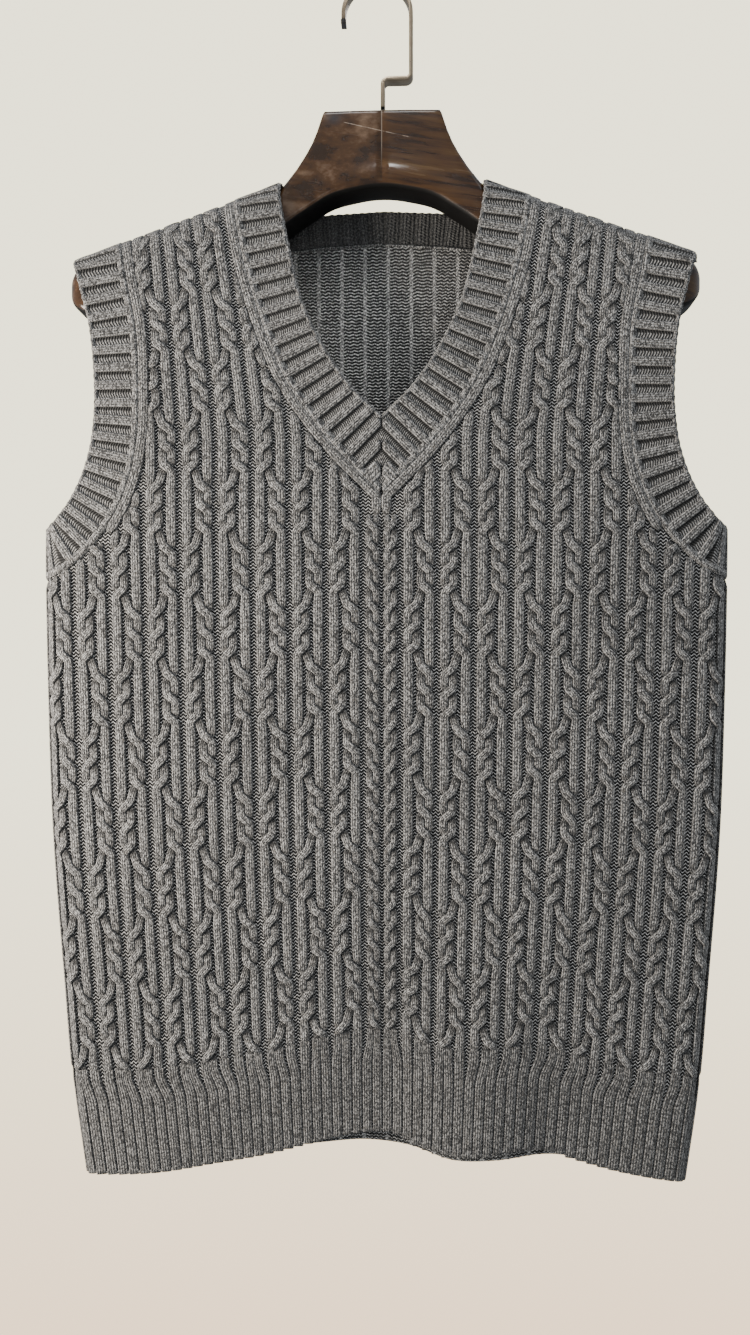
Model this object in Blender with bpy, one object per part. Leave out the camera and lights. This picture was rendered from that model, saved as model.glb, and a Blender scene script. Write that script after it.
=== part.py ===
"""Cable-knit V-neck sweater vest hanging on a broad-shouldered hanger.

The vest is a hollow garment: two body panels, two hem ribs, a neckband and two
armhole bands, each a knitted wall of its own, 0.3 mm from its neighbours at the
seams. Sizes are in millimetres and become metres where vertices are placed.

+Z is up, +X is the right side seen from the front, and the front faces -Y. The
origin is the point of the hook's inner face that a rail bears on, in the middle
plane of the garment.
"""

import math
from collections import namedtuple

import bmesh
import bpy
import numpy as np
from mathutils import Vector

MM = 0.001
MERGE = 0.02 * MM

# Knitted wall
WALL = 3.2
SEAM = 0.15  # each piece stops this far short of its seam
MITRE_SEAM = 0.25  # and the body this far below the neckband's point
FRONT, BACK = -1, 1

# Shoulder line, as it shows from the front
NECK_POINT_X = 72.8
NECK_POINT_Z = -143.2
SHOULDER_SLOPE = 0.375
SHOULDER_RISE = 15.0  # height of the round where the cloth goes over the hanger
SHOULDER_TIP_X = 222.5
TIP_DROP = 2.5  # the shoulder's outer corner is rounded off by this much
TIP_DROP_FROM = 212.0
TIP_FORWARD = 4.0  # the hanger's ends, and the cloth on them, lie this far forward
FORWARD_FULL_Z = -220.0
FORWARD_GONE_Z = -390.0

# Hem
RIB_HEIGHT = 70.0
WAVE_HEIGHT = 260.0  # the hem's waves die out this far above it

# Hanger and hook
ARM_HALF_GAP = 0.15
CAP_START = 204.0
CAP_LENGTH = 20.0
BOTTOM_ROUND = 6.0
STRIP_THICK = 2.9
STRIP_WIDE = 11.3
LOOP_INNER_RADIUS = 22.7
LOOP_CENTRE_X = -4.0
BEND_RADIUS = 4.0
STEP_Z = -69.2
STRIP_END_Z = -26.2
TIP_END_Z = -29.2
TIP_THICK = 3.7
TIP_WIDE = 12.2
SOCKET_BOTTOM_Z = -111.0
SOCKET_CLEARANCE = 0.3
SOCKET_CUT_HEIGHT = 30.0  # tall enough to come out of the hanger's top
TIP_BEVEL = 1.0

# The body's flattened ring at each height: half its width, the radius of the
# fold at its side, and how far its face stands out beside the fold and midway.
Level = namedtuple("Level", "z half_width fold_radius side_depth mid_depth")
LEVELS = (
    Level(-855.0, 214.5, 9.5, 11.0, 13.0),
    Level(-780.0, 225.0, 10.0, 12.0, 15.0),
    Level(-720.0, 230.0, 10.5, 13.0, 17.0),
    Level(-600.0, 239.0, 12.0, 15.0, 21.0),
    Level(-510.0, 242.0, 13.0, 16.0, 24.0),
    Level(-400.0, 244.0, 14.0, 18.0, 26.0),
    Level(-300.0, 244.5, 14.0, 24.0, 26.0),
    Level(-200.0, 244.5, 14.0, 30.0, 24.5),
    Level(-120.0, 244.5, 14.0, 30.0, 23.5),
)

# The hem edge of each panel: its height, and how far a soft wave pushes it out.
Hem = namedtuple("Hem", "x z out")
FRONT_HEM = (
    Hem(-240.0, -853.0, 0.0),
    Hem(-155.0, -849.0, 2.0),
    Hem(-120.0, -843.0, 0.0),
    Hem(-85.0, -837.0, -2.0),
    Hem(-50.0, -828.0, -3.0),
    Hem(-20.0, -821.5, -5.0),
    Hem(8.0, -820.5, -5.0),
    Hem(25.0, -826.5, 0.0),
    Hem(45.0, -832.0, 5.0),
    Hem(70.0, -833.0, 8.0),
    Hem(92.0, -829.5, 5.0),
    Hem(114.0, -829.5, 0.0),
    Hem(135.0, -836.0, -1.0),
    Hem(161.0, -843.0, 0.0),
    Hem(187.0, -847.5, 2.0),
    Hem(240.0, -854.0, 0.0),
)
BACK_HEM = (
    Hem(-240.0, -853.0, 0.0),
    Hem(-120.0, -844.0, 2.0),
    Hem(-50.0, -835.5, -1.0),
    Hem(-10.0, -831.5, -3.0),
    Hem(20.0, -835.0, -4.0),
    Hem(50.0, -844.5, -6.0),
    Hem(80.0, -844.5, -6.0),
    Hem(115.0, -840.0, -3.0),
    Hem(160.0, -845.0, 1.0),
    Hem(240.0, -854.0, 0.0),
)

# Neckband, from the shoulder to the middle: its free edge and its seam with the
# body. None stands for the shoulder seam's own height.
Neck = namedtuple("Neck", "free_x free_z seam_x seam_z")
FRONT_NECK = (
    Neck(72.8, None, 105.6, None),
    Neck(72.0, -156.0, 103.5, -167.0),
    Neck(66.0, -191.0, 98.0, -199.0),
    Neck(56.8, -230.0, 87.0, -238.0),
    Neck(42.0, -263.0, 68.0, -286.0),
    Neck(22.0, -292.5, 33.5, -334.0),
    Neck(0.0, -314.5, 0.0, -368.0),
)
BACK_NECK = (
    Neck(72.8, None, 105.6, None),
    Neck(71.8, -149.0, 98.0, -166.0),
    Neck(62.0, -158.5, 76.0, -182.5),
    Neck(38.0, -157.5, 42.0, -181.5),
    Neck(0.0, -155.5, 0.0, -179.0),
)

# Armhole band, from the shoulder to the side fold. None stands for the shoulder
# seam's height in the first row, and for the fold's own place in the last.
Armhole = namedtuple("Armhole", "free_x free_z seam_x seam_z")
ARMHOLE = (
    Armhole(222.5, None, 187.5, None),
    Armhole(212.0, -222.0, 179.5, -217.0),
    Armhole(206.0, -247.0, 173.0, -252.0),
    Armhole(202.8, -280.0, 171.5, -290.0),
    Armhole(203.0, -312.0, 172.5, -325.0),
    Armhole(207.0, -337.0, 178.0, -354.0),
    Armhole(216.0, -361.0, 189.0, -380.0),
    Armhole(229.5, -381.0, 208.0, -405.0),
    Armhole(238.0, -388.0, 228.0, -421.0),
    Armhole(None, -391.5, None, -427.0),
)

# Where the rows and columns of the panels' facets lie
SHOULDER_ROWS = 4
SIDE_ROWS = 3
ARMHOLE_ROWS = 16
FRONT_NECK_ROWS = 13
BACK_NECK_ROWS = 8
BODY_ROWS = 10
RIB_ROWS = 3
BAND_COLUMNS = 3
COLUMN_PLACES = (0.0, 0.16, 0.32, 0.47, 0.61, 0.73, 0.83, 0.905, 0.94, 0.97, 1.0)

# One arm of the hanger, from the middle to the rounded end. The top corners are
# ellipses of the given depth and height.
Section = namedtuple("Section", "x top bottom thick round_deep round_high")
ARM = (
    Section(0.0, -96.0, -149.0, 35.0, 3.0, 3.0),
    Section(20.0, -96.1, -151.8, 35.0, 3.0, 3.0),
    Section(40.7, -96.5, -158.7, 35.0, 3.0, 3.0),
    Section(42.0, -98.6, -159.5, 35.0, 3.0, 3.0),
    Section(46.0, -110.5, -162.2, 35.1, 3.0, 3.0),
    Section(49.5, -119.0, -164.6, 35.2, 3.0, 3.0),
    Section(54.0, -127.0, -167.6, 35.4, 3.5, 3.5),
    Section(60.5, -136.5, -172.0, 35.6, 5.0, 5.0),
    Section(66.5, -142.8, -176.4, 35.8, 9.0, 8.0),
    Section(72.0, -147.6, -180.0, 36.0, 15.0, 11.0),
    Section(78.0, -150.4, -183.8, 36.4, 17.0, 11.5),
    Section(86.0, -153.0, -188.8, 37.0, 18.0, 12.0),
    Section(100.0, -157.9, -196.5, 38.0, 19.0, 12.0),
    Section(125.0, -167.0, -208.0, 39.5, 19.7, 12.0),
    Section(150.0, -176.3, -219.0, 41.0, 20.5, 12.0),
    Section(180.0, -187.5, -232.0, 43.0, 21.5, 12.5),
    Section(CAP_START, -198.0, -240.0, 44.0, 22.0, 13.5),
)
LINE_POINTS = 200
CAP_SECTIONS = 5
CORNER_STEPS = 5
LOOP_STEPS = 24
BEND_STEPS = 4
NORMAL_REACH = 0.5  # how far apart the points are that give the cloth's normal
GRID_SIZE = 0.5  # half the side of the unit grid that patches are laid from
SHARP_ANGLE = math.radians(40)

# Base colour, roughness and metallic value of each finish
Finish = namedtuple("Finish", "colour roughness metallic")
GREY_KNIT = Finish((0.16, 0.158, 0.152), 0.95, 0.0)
GREY_RIB = Finish((0.15, 0.148, 0.143), 0.95, 0.0)
DARK_WOOD = Finish((0.055, 0.028, 0.016), 0.25, 0.0)
CHAMPAGNE_METAL = Finish((0.62, 0.52, 0.36), 0.25, 1.0)
BLACK_PLASTIC = Finish((0.012, 0.012, 0.013), 0.4, 0.0)


def clear_scene():
    for obj in list(bpy.data.objects):
        bpy.data.objects.remove(obj, do_unlink=True)


def smooth_curve(keys, values):
    """A smooth curve through a table's columns, as a function of one place."""
    slopes = np.gradient(values, keys)

    def value_at(at):
        row = int(np.clip(np.searchsorted(keys, at) - 1, 0, len(keys) - 2))
        step = keys[row + 1] - keys[row]
        t = min(max((at - keys[row]) / step, 0.0), 1.0)
        lean = step * (slopes[row] * (t**3 - 2 * t**2 + t) + slopes[row + 1] * (t**3 - t**2))
        rise = (values[row + 1] - values[row]) * (3 * t**2 - 2 * t**3)
        return values[row] + rise + lean

    return value_at


def table_curves(table):
    """One smooth curve for each column of a table, over its first column."""
    columns = {name: [getattr(row, name) for row in table] for name in table[0]._fields}
    keys = columns[table[0]._fields[0]]
    return {name: smooth_curve(keys, values) for name, values in columns.items()}


def ease(t):
    t = min(max(t, 0.0), 1.0)
    return t * t * (3 - 2 * t)


# ---- the cloth's surface -------------------------------------------------

LEVEL_CURVES = table_curves(LEVELS)
HEM_CURVES = {FRONT: table_curves(FRONT_HEM), BACK: table_curves(BACK_HEM)}


def level(name, z):
    return LEVEL_CURVES[name](z)


def hem_z(x, side):
    return HEM_CURVES[side]["z"](x)


def face_depth(x, z, side):
    """How far the cloth's outer face stands from the garment's middle surface."""
    share = min(abs(x) / level("half_width", z), 1.0) ** 4
    depth = level("mid_depth", z) * (1 - share) + level("side_depth", z) * share
    wave = HEM_CURVES[side]["out"](x)
    above = min(max((z - hem_z(x, side)) / WAVE_HEIGHT, 0.0), 1.0)
    return depth + wave * (1 - above) ** 2


def middle_y(x, z):
    """The garment's middle surface, which comes forward at the shoulder tips."""
    held = ease((z - FORWARD_GONE_Z) / (FORWARD_FULL_Z - FORWARD_GONE_Z))
    return -TIP_FORWARD * (x / SHOULDER_TIP_X) ** 2 * held


def quarter(a, b):
    """Length of a quarter of an ellipse, near enough."""
    return math.pi / 2 * math.sqrt((a * a + b * b) / 2)


def shoulder_fold_z(x):
    """Where the front or back starts to turn over the hanger."""
    line = NECK_POINT_Z - SHOULDER_SLOPE * (abs(x) - NECK_POINT_X)
    out = max(abs(x) - TIP_DROP_FROM, 0.0) / (SHOULDER_TIP_X - TIP_DROP_FROM)
    return line - SHOULDER_RISE - TIP_DROP * out * out


def shoulder_seam_z(x, side):
    """Height of the shoulder seam in the sheet, with the round laid out flat."""
    fold = shoulder_fold_z(x)
    return fold + quarter(SHOULDER_RISE, face_depth(x, fold, side))


def side_fold_x(z):
    """Place of the side seam in the sheet, with the round laid out flat."""
    radius = level("fold_radius", z)
    return level("half_width", z) - radius + quarter(radius, level("side_depth", z))


def outer_point(x, z, side):
    """Where the point (x, z) of the flat sheet lies once the vest hangs."""
    depth = face_depth(x, min(z, shoulder_fold_z(x)), side)
    place_x, place_z, turn = x, z, 1.0
    radius = level("fold_radius", z)
    past = abs(x) - (level("half_width", z) - radius)
    if past > 0:
        angle = past / quarter(radius, level("side_depth", z)) * math.pi / 2
        place_x = math.copysign(abs(x) - past + radius * math.sin(angle), x)
        turn = math.cos(angle)
    past = z - shoulder_fold_z(x)
    if past > 0:
        angle = past / quarter(SHOULDER_RISE, depth) * math.pi / 2
        place_z = z - past + SHOULDER_RISE * math.sin(angle)
        turn = math.cos(angle)
    return Vector((place_x, middle_y(place_x, place_z) + side * depth * turn, place_z))


def cloth_point(x, z, side, inset=0.0):
    """A point of the cloth, moved in from its outer face by the inset."""
    here = outer_point(x, z, side)
    if not inset:
        return here * MM
    reach = NORMAL_REACH
    across = outer_point(x + reach, z, side) - outer_point(x - reach, z, side)
    up = outer_point(x, z + reach, side) - outer_point(x, z - reach, side)
    outward = across.cross(up).normalized() * -side
    return (here - outward * inset) * MM


# ---- lines in the flat sheet ---------------------------------------------


def line_through(points):
    """A smooth dense line through a few points of the sheet."""
    points = np.array(points, dtype=float)
    lengths = np.append(0.0, np.cumsum(np.linalg.norm(np.diff(points, axis=0), axis=1)))
    curves = [smooth_curve(lengths, points[:, axis]) for axis in (0, 1)]
    places = np.linspace(0.0, lengths[-1], LINE_POINTS)
    return np.array([[curve(at) for curve in curves] for at in places])


def stations(line, parts):
    """Points along a line. Each part is a length, or None for the rest, and a count."""
    lengths = np.append(0.0, np.cumsum(np.linalg.norm(np.diff(line, axis=0), axis=1)))
    rest = lengths[-1] - sum(length for length, _ in parts if length)
    places = [0.0]
    for length, count in parts:
        step = (rest if length is None else length) / count
        places += [places[-1] + step * (number + 1) for number in range(count)]
    return [np.array([np.interp(at, lengths, line[:, axis]) for axis in (0, 1)]) for at in places]


def neck_line(side, edge):
    """Half of the neckline, from the shoulder to the middle."""
    table = FRONT_NECK if side == FRONT else BACK_NECK
    rows = []
    for row in table:
        x, z = getattr(row, edge + "_x"), getattr(row, edge + "_z")
        rows.append((x, shoulder_seam_z(x, side) if z is None else z))
    count = FRONT_NECK_ROWS if side == FRONT else BACK_NECK_ROWS
    round_length = shoulder_seam_z(rows[0][0], side) - shoulder_fold_z(rows[0][0])
    parts = ((round_length, SHOULDER_ROWS), (None, count - SHOULDER_ROWS))
    return stations(line_through(rows), parts)


def armhole_line(side, edge):
    """The armhole, from the shoulder to the side fold."""
    rows = []
    for row in ARMHOLE:
        x, z = getattr(row, edge + "_x"), getattr(row, edge + "_z")
        if x is None:
            x = side_fold_x(z)
        rows.append((x, shoulder_seam_z(x, side) if z is None else z))
    round_length = shoulder_seam_z(rows[0][0], side) - shoulder_fold_z(rows[0][0])
    side_z = rows[-1][1]
    side_length = quarter(level("fold_radius", side_z), level("side_depth", side_z))
    middle_count = ARMHOLE_ROWS - SHOULDER_ROWS - SIDE_ROWS
    parts = ((round_length, SHOULDER_ROWS), (None, middle_count), (side_length, SIDE_ROWS))
    return stations(line_through(rows), parts)


def set_back(seam, way):
    """A seam's points, moved square to it by the seam's clearance.

    The lines run down from the shoulder, and way is 1 towards the garment's side
    and -1 towards its middle.
    """
    seam = np.array(seam)
    along = np.gradient(seam, axis=0)
    square = np.stack((-along[:, 1], along[:, 0]), axis=1) / np.linalg.norm(along, axis=1)[:, None]
    moved = seam + square * way * SEAM
    moved[seam[:, 0] < SEAM, 0] = 0.0
    return moved


def rib_top_z(x, side):
    return hem_z(x, side) + RIB_HEIGHT


# ---- building the walls --------------------------------------------------


def lay_patch(bm, rows, side, mirrored):
    """Adds a grid of facets, each vertex keeping its place in the flat sheet."""
    sheet_x = bm.verts.layers.float.get("sheet_x") or bm.verts.layers.float.new("sheet_x")
    sheet_z = bm.verts.layers.float.get("sheet_z") or bm.verts.layers.float.new("sheet_z")
    sheet_side = bm.verts.layers.float.get("sheet_side") or bm.verts.layers.float.new("sheet_side")
    steps_x, steps_y = len(rows[0]) - 1, len(rows) - 1
    grid = bmesh.ops.create_grid(bm, x_segments=steps_x, y_segments=steps_y, size=GRID_SIZE)
    for vert in grid["verts"]:
        number_x = round((vert.co.x + GRID_SIZE) * steps_x)
        number_y = round((vert.co.y + GRID_SIZE) * steps_y)
        x, z = rows[number_y][number_x]
        vert[sheet_x] = -x if mirrored else x
        vert[sheet_z] = z
        vert[sheet_side] = side
        vert.co = cloth_point(vert[sheet_x], z, side)


def close_wall(bm):
    """Gives the sheet its thickness, inward from its outer face."""
    bmesh.ops.remove_doubles(bm, verts=bm.verts, dist=MERGE)
    outer = set(bm.verts)
    bmesh.ops.extrude_face_region(bm, geom=bm.faces[:], use_keep_orig=True)
    sheet_x = bm.verts.layers.float["sheet_x"]
    sheet_z = bm.verts.layers.float["sheet_z"]
    sheet_side = bm.verts.layers.float["sheet_side"]
    for vert in bm.verts:
        if vert not in outer:
            side = FRONT if vert[sheet_side] < 0 else BACK
            vert.co = cloth_point(vert[sheet_x], vert[sheet_z], side, WALL)


def make_material(name, finish):
    material = bpy.data.materials.new(name)
    material.use_nodes = True
    shader = material.node_tree.nodes["Principled BSDF"]
    shader.inputs["Base Color"].default_value = (*finish.colour, 1.0)
    shader.inputs["Roughness"].default_value = finish.roughness
    shader.inputs["Metallic"].default_value = finish.metallic
    return material


def add_object(name, bm, finish):
    bmesh.ops.recalc_face_normals(bm, faces=bm.faces)
    mesh = bpy.data.meshes.new(name)
    bm.to_mesh(mesh)
    bm.free()
    mesh.materials.append(make_material(name + "_finish", finish))
    mesh.shade_smooth()
    mesh.set_sharp_from_angle(angle=SHARP_ANGLE)
    obj = bpy.data.objects.new(name, mesh)
    bpy.context.scene.collection.objects.link(obj)
    return obj


def body_rows(side, mirrored):
    """Rows of half a body panel, from the shoulder to the top of the hem rib."""
    neck = neck_line(side, "seam")
    armhole = armhole_line(side, "seam")
    underarm_z = armhole[-1][1]
    neck_end_z = neck[-1][1]
    centre_z = np.linspace(neck_end_z, underarm_z, len(armhole) - len(neck) + 1)[1:]
    inner = list(set_back(neck, 1))
    inner[-1][1] = neck_end_z - MITRE_SEAM
    inner += [np.array((0.0, z)) for z in centre_z]
    outer = list(set_back(armhole, -1))
    outer[-1] = np.array((side_fold_x(underarm_z) - SEAM, underarm_z - SEAM))
    rows = [spread(start, end) for start, end in zip(inner, outer)]
    rows[0] = [np.array((x, shoulder_seam_z(x, side) - SEAM)) for x, _ in rows[0]]
    for number in range(1, BODY_ROWS + 1):
        share = number / BODY_ROWS
        rows.append(
            [lower_point(start, share, side, mirrored) for start in spread(inner[-1], outer[-1])]
        )
    return rows


def spread(start, end):
    return [np.array(start) + (np.array(end) - np.array(start)) * place for place in COLUMN_PLACES]


def lower_point(start, share, side, mirrored):
    """A point below the underarm: its column narrows with the body's outline."""
    sign = -1 if mirrored else 1
    place = start[0] / (side_fold_x(start[1]) - SEAM)
    x = start[0]
    for _ in range(3):
        bottom = rib_top_z(sign * x, side) + SEAM
        z = start[1] + (bottom - start[1]) * share
        x = place * (side_fold_x(z) - SEAM)
    return np.array((x, z))


def rib_rows(side, mirrored):
    """Rows of half a hem rib, under the last row of the body."""
    sign = -1 if mirrored else 1
    rows = []
    for number in range(RIB_ROWS + 1):
        row = []
        for x, z in body_rows(side, mirrored)[-1]:
            place = x / (side_fold_x(z) - SEAM)
            top, bottom = rib_top_z(sign * x, side) - SEAM, hem_z(sign * x, side)
            z = top + (bottom - top) * number / RIB_ROWS
            row.append(np.array((place * (side_fold_x(z) - SEAM), z)))
        rows.append(row)
    return rows


def band_rows(line, side, way):
    """Rows of a band: each runs from near its seam to its free edge."""
    rows = []
    for start, end in zip(set_back(line(side, "seam"), way), line(side, "free")):
        rows.append([start + (end - start) * step / BAND_COLUMNS for step in range(BAND_COLUMNS + 1)])
    rows[0] = [np.array((x, shoulder_seam_z(x, side))) for x, _ in rows[0]]
    return rows


def armhole_rows(side):
    rows = band_rows(armhole_line, side, 1)
    rows[-1] = [np.array((side_fold_x(z), z)) for _, z in rows[-1]]
    return rows


def build_body(name, side, finish):
    bm = bmesh.new()
    for mirrored in (False, True):
        lay_patch(bm, body_rows(side, mirrored), side, mirrored)
    close_wall(bm)
    return add_object(name, bm, finish)


def build_hem_rib(name, side, finish):
    bm = bmesh.new()
    for mirrored in (False, True):
        lay_patch(bm, rib_rows(side, mirrored), side, mirrored)
    close_wall(bm)
    return add_object(name, bm, finish)


def build_neckband():
    bm = bmesh.new()
    for side in (FRONT, BACK):
        rows = band_rows(neck_line, side, -1)
        for mirrored in (False, True):
            lay_patch(bm, rows, side, mirrored)
    close_wall(bm)
    return add_object("neckband", bm, GREY_RIB)


def build_armhole_band(name, mirrored):
    bm = bmesh.new()
    for side in (FRONT, BACK):
        lay_patch(bm, armhole_rows(side), side, mirrored)
    close_wall(bm)
    return add_object(name, bm, GREY_RIB)


# ---- hanger --------------------------------------------------------------


def section_loop(section):
    """Corners of one upright section of an arm, once round."""
    half = section.thick / 2
    deep, high = section.round_deep, section.round_high
    bottom = section.bottom + BOTTOM_ROUND
    corners = (
        (half - deep, section.top - high, deep, high, 0),
        (deep - half, section.top - high, deep, high, 1),
        (BOTTOM_ROUND - half, bottom, BOTTOM_ROUND, BOTTOM_ROUND, 2),
        (half - BOTTOM_ROUND, bottom, BOTTOM_ROUND, BOTTOM_ROUND, 3),
    )
    loop = []
    for centre_y, centre_z, deep, high, turn in corners:
        for step in range(CORNER_STEPS):
            angle = math.pi / 2 * (turn + step / (CORNER_STEPS - 1))
            loop.append((centre_y + deep * math.cos(angle), centre_z + high * math.sin(angle)))
    return loop


def arm_sections():
    """Every section of an arm, with the rounded end's worked out from the last row."""
    loops = []
    for section in ARM:
        loops.append((max(section.x, ARM_HALF_GAP), section_loop(section)))
    last = section_loop(ARM[-1])
    middle_z = (ARM[-1].top + ARM[-1].bottom) / 2
    for number in range(1, CAP_SECTIONS + 1):
        angle = math.pi / 2 * number / (CAP_SECTIONS + 0.5)
        size = math.cos(angle)
        loop = [(y * size, middle_z + (z - middle_z) * size) for y, z in last]
        loops.append((CAP_START + CAP_LENGTH * math.sin(angle), loop))
    return loops


def build_arm(name, sign):
    sections = arm_sections()
    around = len(sections[0][1])
    bm = bmesh.new()
    steps = len(sections) - 1
    grid = bmesh.ops.create_grid(bm, x_segments=around, y_segments=steps, size=GRID_SIZE)
    for vert in grid["verts"]:
        number = round((vert.co.y + GRID_SIZE) * steps)
        corner = round((vert.co.x + GRID_SIZE) * around) % around
        x, loop = sections[number]
        y, z = loop[corner]
        forward = TIP_FORWARD * (x / SHOULDER_TIP_X) ** 2
        vert.co = Vector((sign * x, y - forward, z)) * MM
    bmesh.ops.remove_doubles(bm, verts=bm.verts, dist=MERGE)
    bmesh.ops.holes_fill(bm, edges=bm.edges)
    arm = add_object(name, bm, DARK_WOOD)
    cut = arm.modifiers.new("socket", "BOOLEAN")
    cut.operation = "DIFFERENCE"
    cut.object = bpy.data.objects["socket_cutter"]
    return arm


def build_socket_cutter():
    """The pocket in the hanger's top that takes the hook's stem."""
    height = SOCKET_CUT_HEIGHT
    size = (STRIP_THICK + 2 * SOCKET_CLEARANCE, STRIP_WIDE + 2 * SOCKET_CLEARANCE, height)
    bm = bmesh.new()
    bmesh.ops.create_cube(bm, size=1.0)
    bmesh.ops.scale(bm, vec=Vector(size) * MM, verts=bm.verts)
    bmesh.ops.translate(bm, vec=Vector((0, 0, SOCKET_BOTTOM_Z + height / 2)) * MM, verts=bm.verts)
    cutter = add_object("socket_cutter", bm, DARK_WOOD)
    cutter.hide_render = True
    cutter.display_type = "WIRE"


def arc(centre_x, centre_z, radius, start, end, steps):
    """Points of an arc with the direction the strip runs there. Angles in degrees."""
    points = []
    way = 1 if end > start else -1
    for step in range(steps + 1):
        angle = math.radians(start + (end - start) * step / steps)
        x = centre_x + radius * math.cos(angle)
        z = centre_z + radius * math.sin(angle)
        points.append((x, z, (-math.sin(angle) * way, math.cos(angle) * way)))
    return points


def hook_path():
    """Middle line of the hook's strip, from its foot in the hanger to its tip."""
    radius = LOOP_INNER_RADIUS + STRIP_THICK / 2
    loop_z = -math.sqrt(LOOP_INNER_RADIUS**2 - LOOP_CENTRE_X**2)
    stand_x = LOOP_CENTRE_X + radius
    up, down = (0.0, 1.0), (0.0, -1.0)
    path = [(0.0, SOCKET_BOTTOM_Z + SOCKET_CLEARANCE, up)]
    path += arc(BEND_RADIUS, STEP_Z - BEND_RADIUS, BEND_RADIUS, 180, 90, BEND_STEPS)
    path += arc(stand_x - BEND_RADIUS, STEP_Z + BEND_RADIUS, BEND_RADIUS, -90, 0, BEND_STEPS)
    path += arc(LOOP_CENTRE_X, loop_z, radius, 0, 180, LOOP_STEPS)
    path.append((LOOP_CENTRE_X - radius, STRIP_END_Z, down))
    return path


def build_hook():
    path = hook_path()
    half = STRIP_THICK / 2
    left = [(x - way[1] * half, z + way[0] * half) for x, z, way in path]
    right = [(x + way[1] * half, z - way[0] * half) for x, z, way in path]
    bm = bmesh.new()
    outline = [bm.verts.new(Vector((x, -STRIP_WIDE / 2, z)) * MM) for x, z in left + right[::-1]]
    face = bm.faces.new(outline)
    side = bmesh.ops.extrude_face_region(bm, geom=[face], use_keep_orig=True)
    moved = [item for item in side["geom"] if isinstance(item, bmesh.types.BMVert)]
    bmesh.ops.translate(bm, vec=Vector((0, STRIP_WIDE, 0)) * MM, verts=moved)
    return add_object("hanger_hook", bm, CHAMPAGNE_METAL)


def build_hook_tip():
    """The soft cap on the free end of the strip."""
    centre_x = LOOP_CENTRE_X - LOOP_INNER_RADIUS - STRIP_THICK / 2
    top = STRIP_END_Z - 2 * SEAM
    bm = bmesh.new()
    bmesh.ops.create_cube(bm, size=1.0)
    bmesh.ops.scale(bm, vec=Vector((TIP_THICK, TIP_WIDE, top - TIP_END_Z)) * MM, verts=bm.verts)
    bmesh.ops.translate(bm, vec=Vector((centre_x, 0, (top + TIP_END_Z) / 2)) * MM, verts=bm.verts)
    low = (TIP_END_Z + TIP_BEVEL) * MM
    bmesh.ops.bevel(
        bm,
        geom=[edge for edge in bm.edges if all(vert.co.z < low for vert in edge.verts)],
        offset=TIP_BEVEL * MM,
        offset_type="OFFSET",
        segments=2,
        profile=0.5,
        affect="EDGES",
        material=-1,
    )
    return add_object("hook_tip", bm, BLACK_PLASTIC)


def main():
    clear_scene()
    build_body("front_body", FRONT, GREY_KNIT)
    build_body("back_body", BACK, GREY_KNIT)
    build_hem_rib("front_hem_rib", FRONT, GREY_RIB)
    build_hem_rib("back_hem_rib", BACK, GREY_RIB)
    build_neckband()
    build_armhole_band("armhole_band_left", True)
    build_armhole_band("armhole_band_right", False)
    build_socket_cutter()
    build_arm("hanger_arm_left", -1)
    build_arm("hanger_arm_right", 1)
    build_hook()
    build_hook_tip()


main()
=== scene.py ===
import math

import bmesh
import bpy
import numpy as np
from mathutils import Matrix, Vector


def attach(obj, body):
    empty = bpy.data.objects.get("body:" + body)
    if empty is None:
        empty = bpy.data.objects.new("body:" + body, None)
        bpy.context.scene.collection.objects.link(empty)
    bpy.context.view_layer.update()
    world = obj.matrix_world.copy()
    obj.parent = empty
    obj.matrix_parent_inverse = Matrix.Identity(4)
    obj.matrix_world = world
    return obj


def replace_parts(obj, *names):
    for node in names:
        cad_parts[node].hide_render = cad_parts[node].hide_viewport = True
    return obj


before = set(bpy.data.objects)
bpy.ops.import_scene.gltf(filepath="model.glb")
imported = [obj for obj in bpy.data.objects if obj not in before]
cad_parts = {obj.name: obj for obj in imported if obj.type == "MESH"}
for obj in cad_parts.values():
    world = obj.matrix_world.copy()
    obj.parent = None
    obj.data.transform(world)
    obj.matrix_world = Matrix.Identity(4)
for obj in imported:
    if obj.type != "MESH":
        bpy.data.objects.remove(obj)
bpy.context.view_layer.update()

mm = 0.001
front, back = -1, 1

# the surface that the cloth hangs in, the same as the solids', in millimetres
shoulder = {
    "neckX": 72.8,
    "neckZ": -143.2,
    "slope": 0.375,
    "rise": 15,
    "tipX": 222.5,
    "tipDrop": 2.5,
    "tipDropFrom": 212,
    "tipForward": 4,
    "forwardFull": -220,
    "forwardGone": -390,
}

hem = {"ribHeight": 70, "waveHeight": 260, "seamGap": 0.15}

# height, half width, side fold radius, depth beside the fold, depth midway
levels = (
    (-855, 214.5, 9.5, 11, 13),
    (-780, 225, 10, 12, 15),
    (-720, 230, 10.5, 13, 17),
    (-600, 239, 12, 15, 21),
    (-510, 242, 13, 16, 24),
    (-400, 244, 14, 18, 26),
    (-300, 244.5, 14, 24, 26),
    (-200, 244.5, 14, 30, 24.5),
    (-120, 244.5, 14, 30, 23.5),
)

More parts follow.
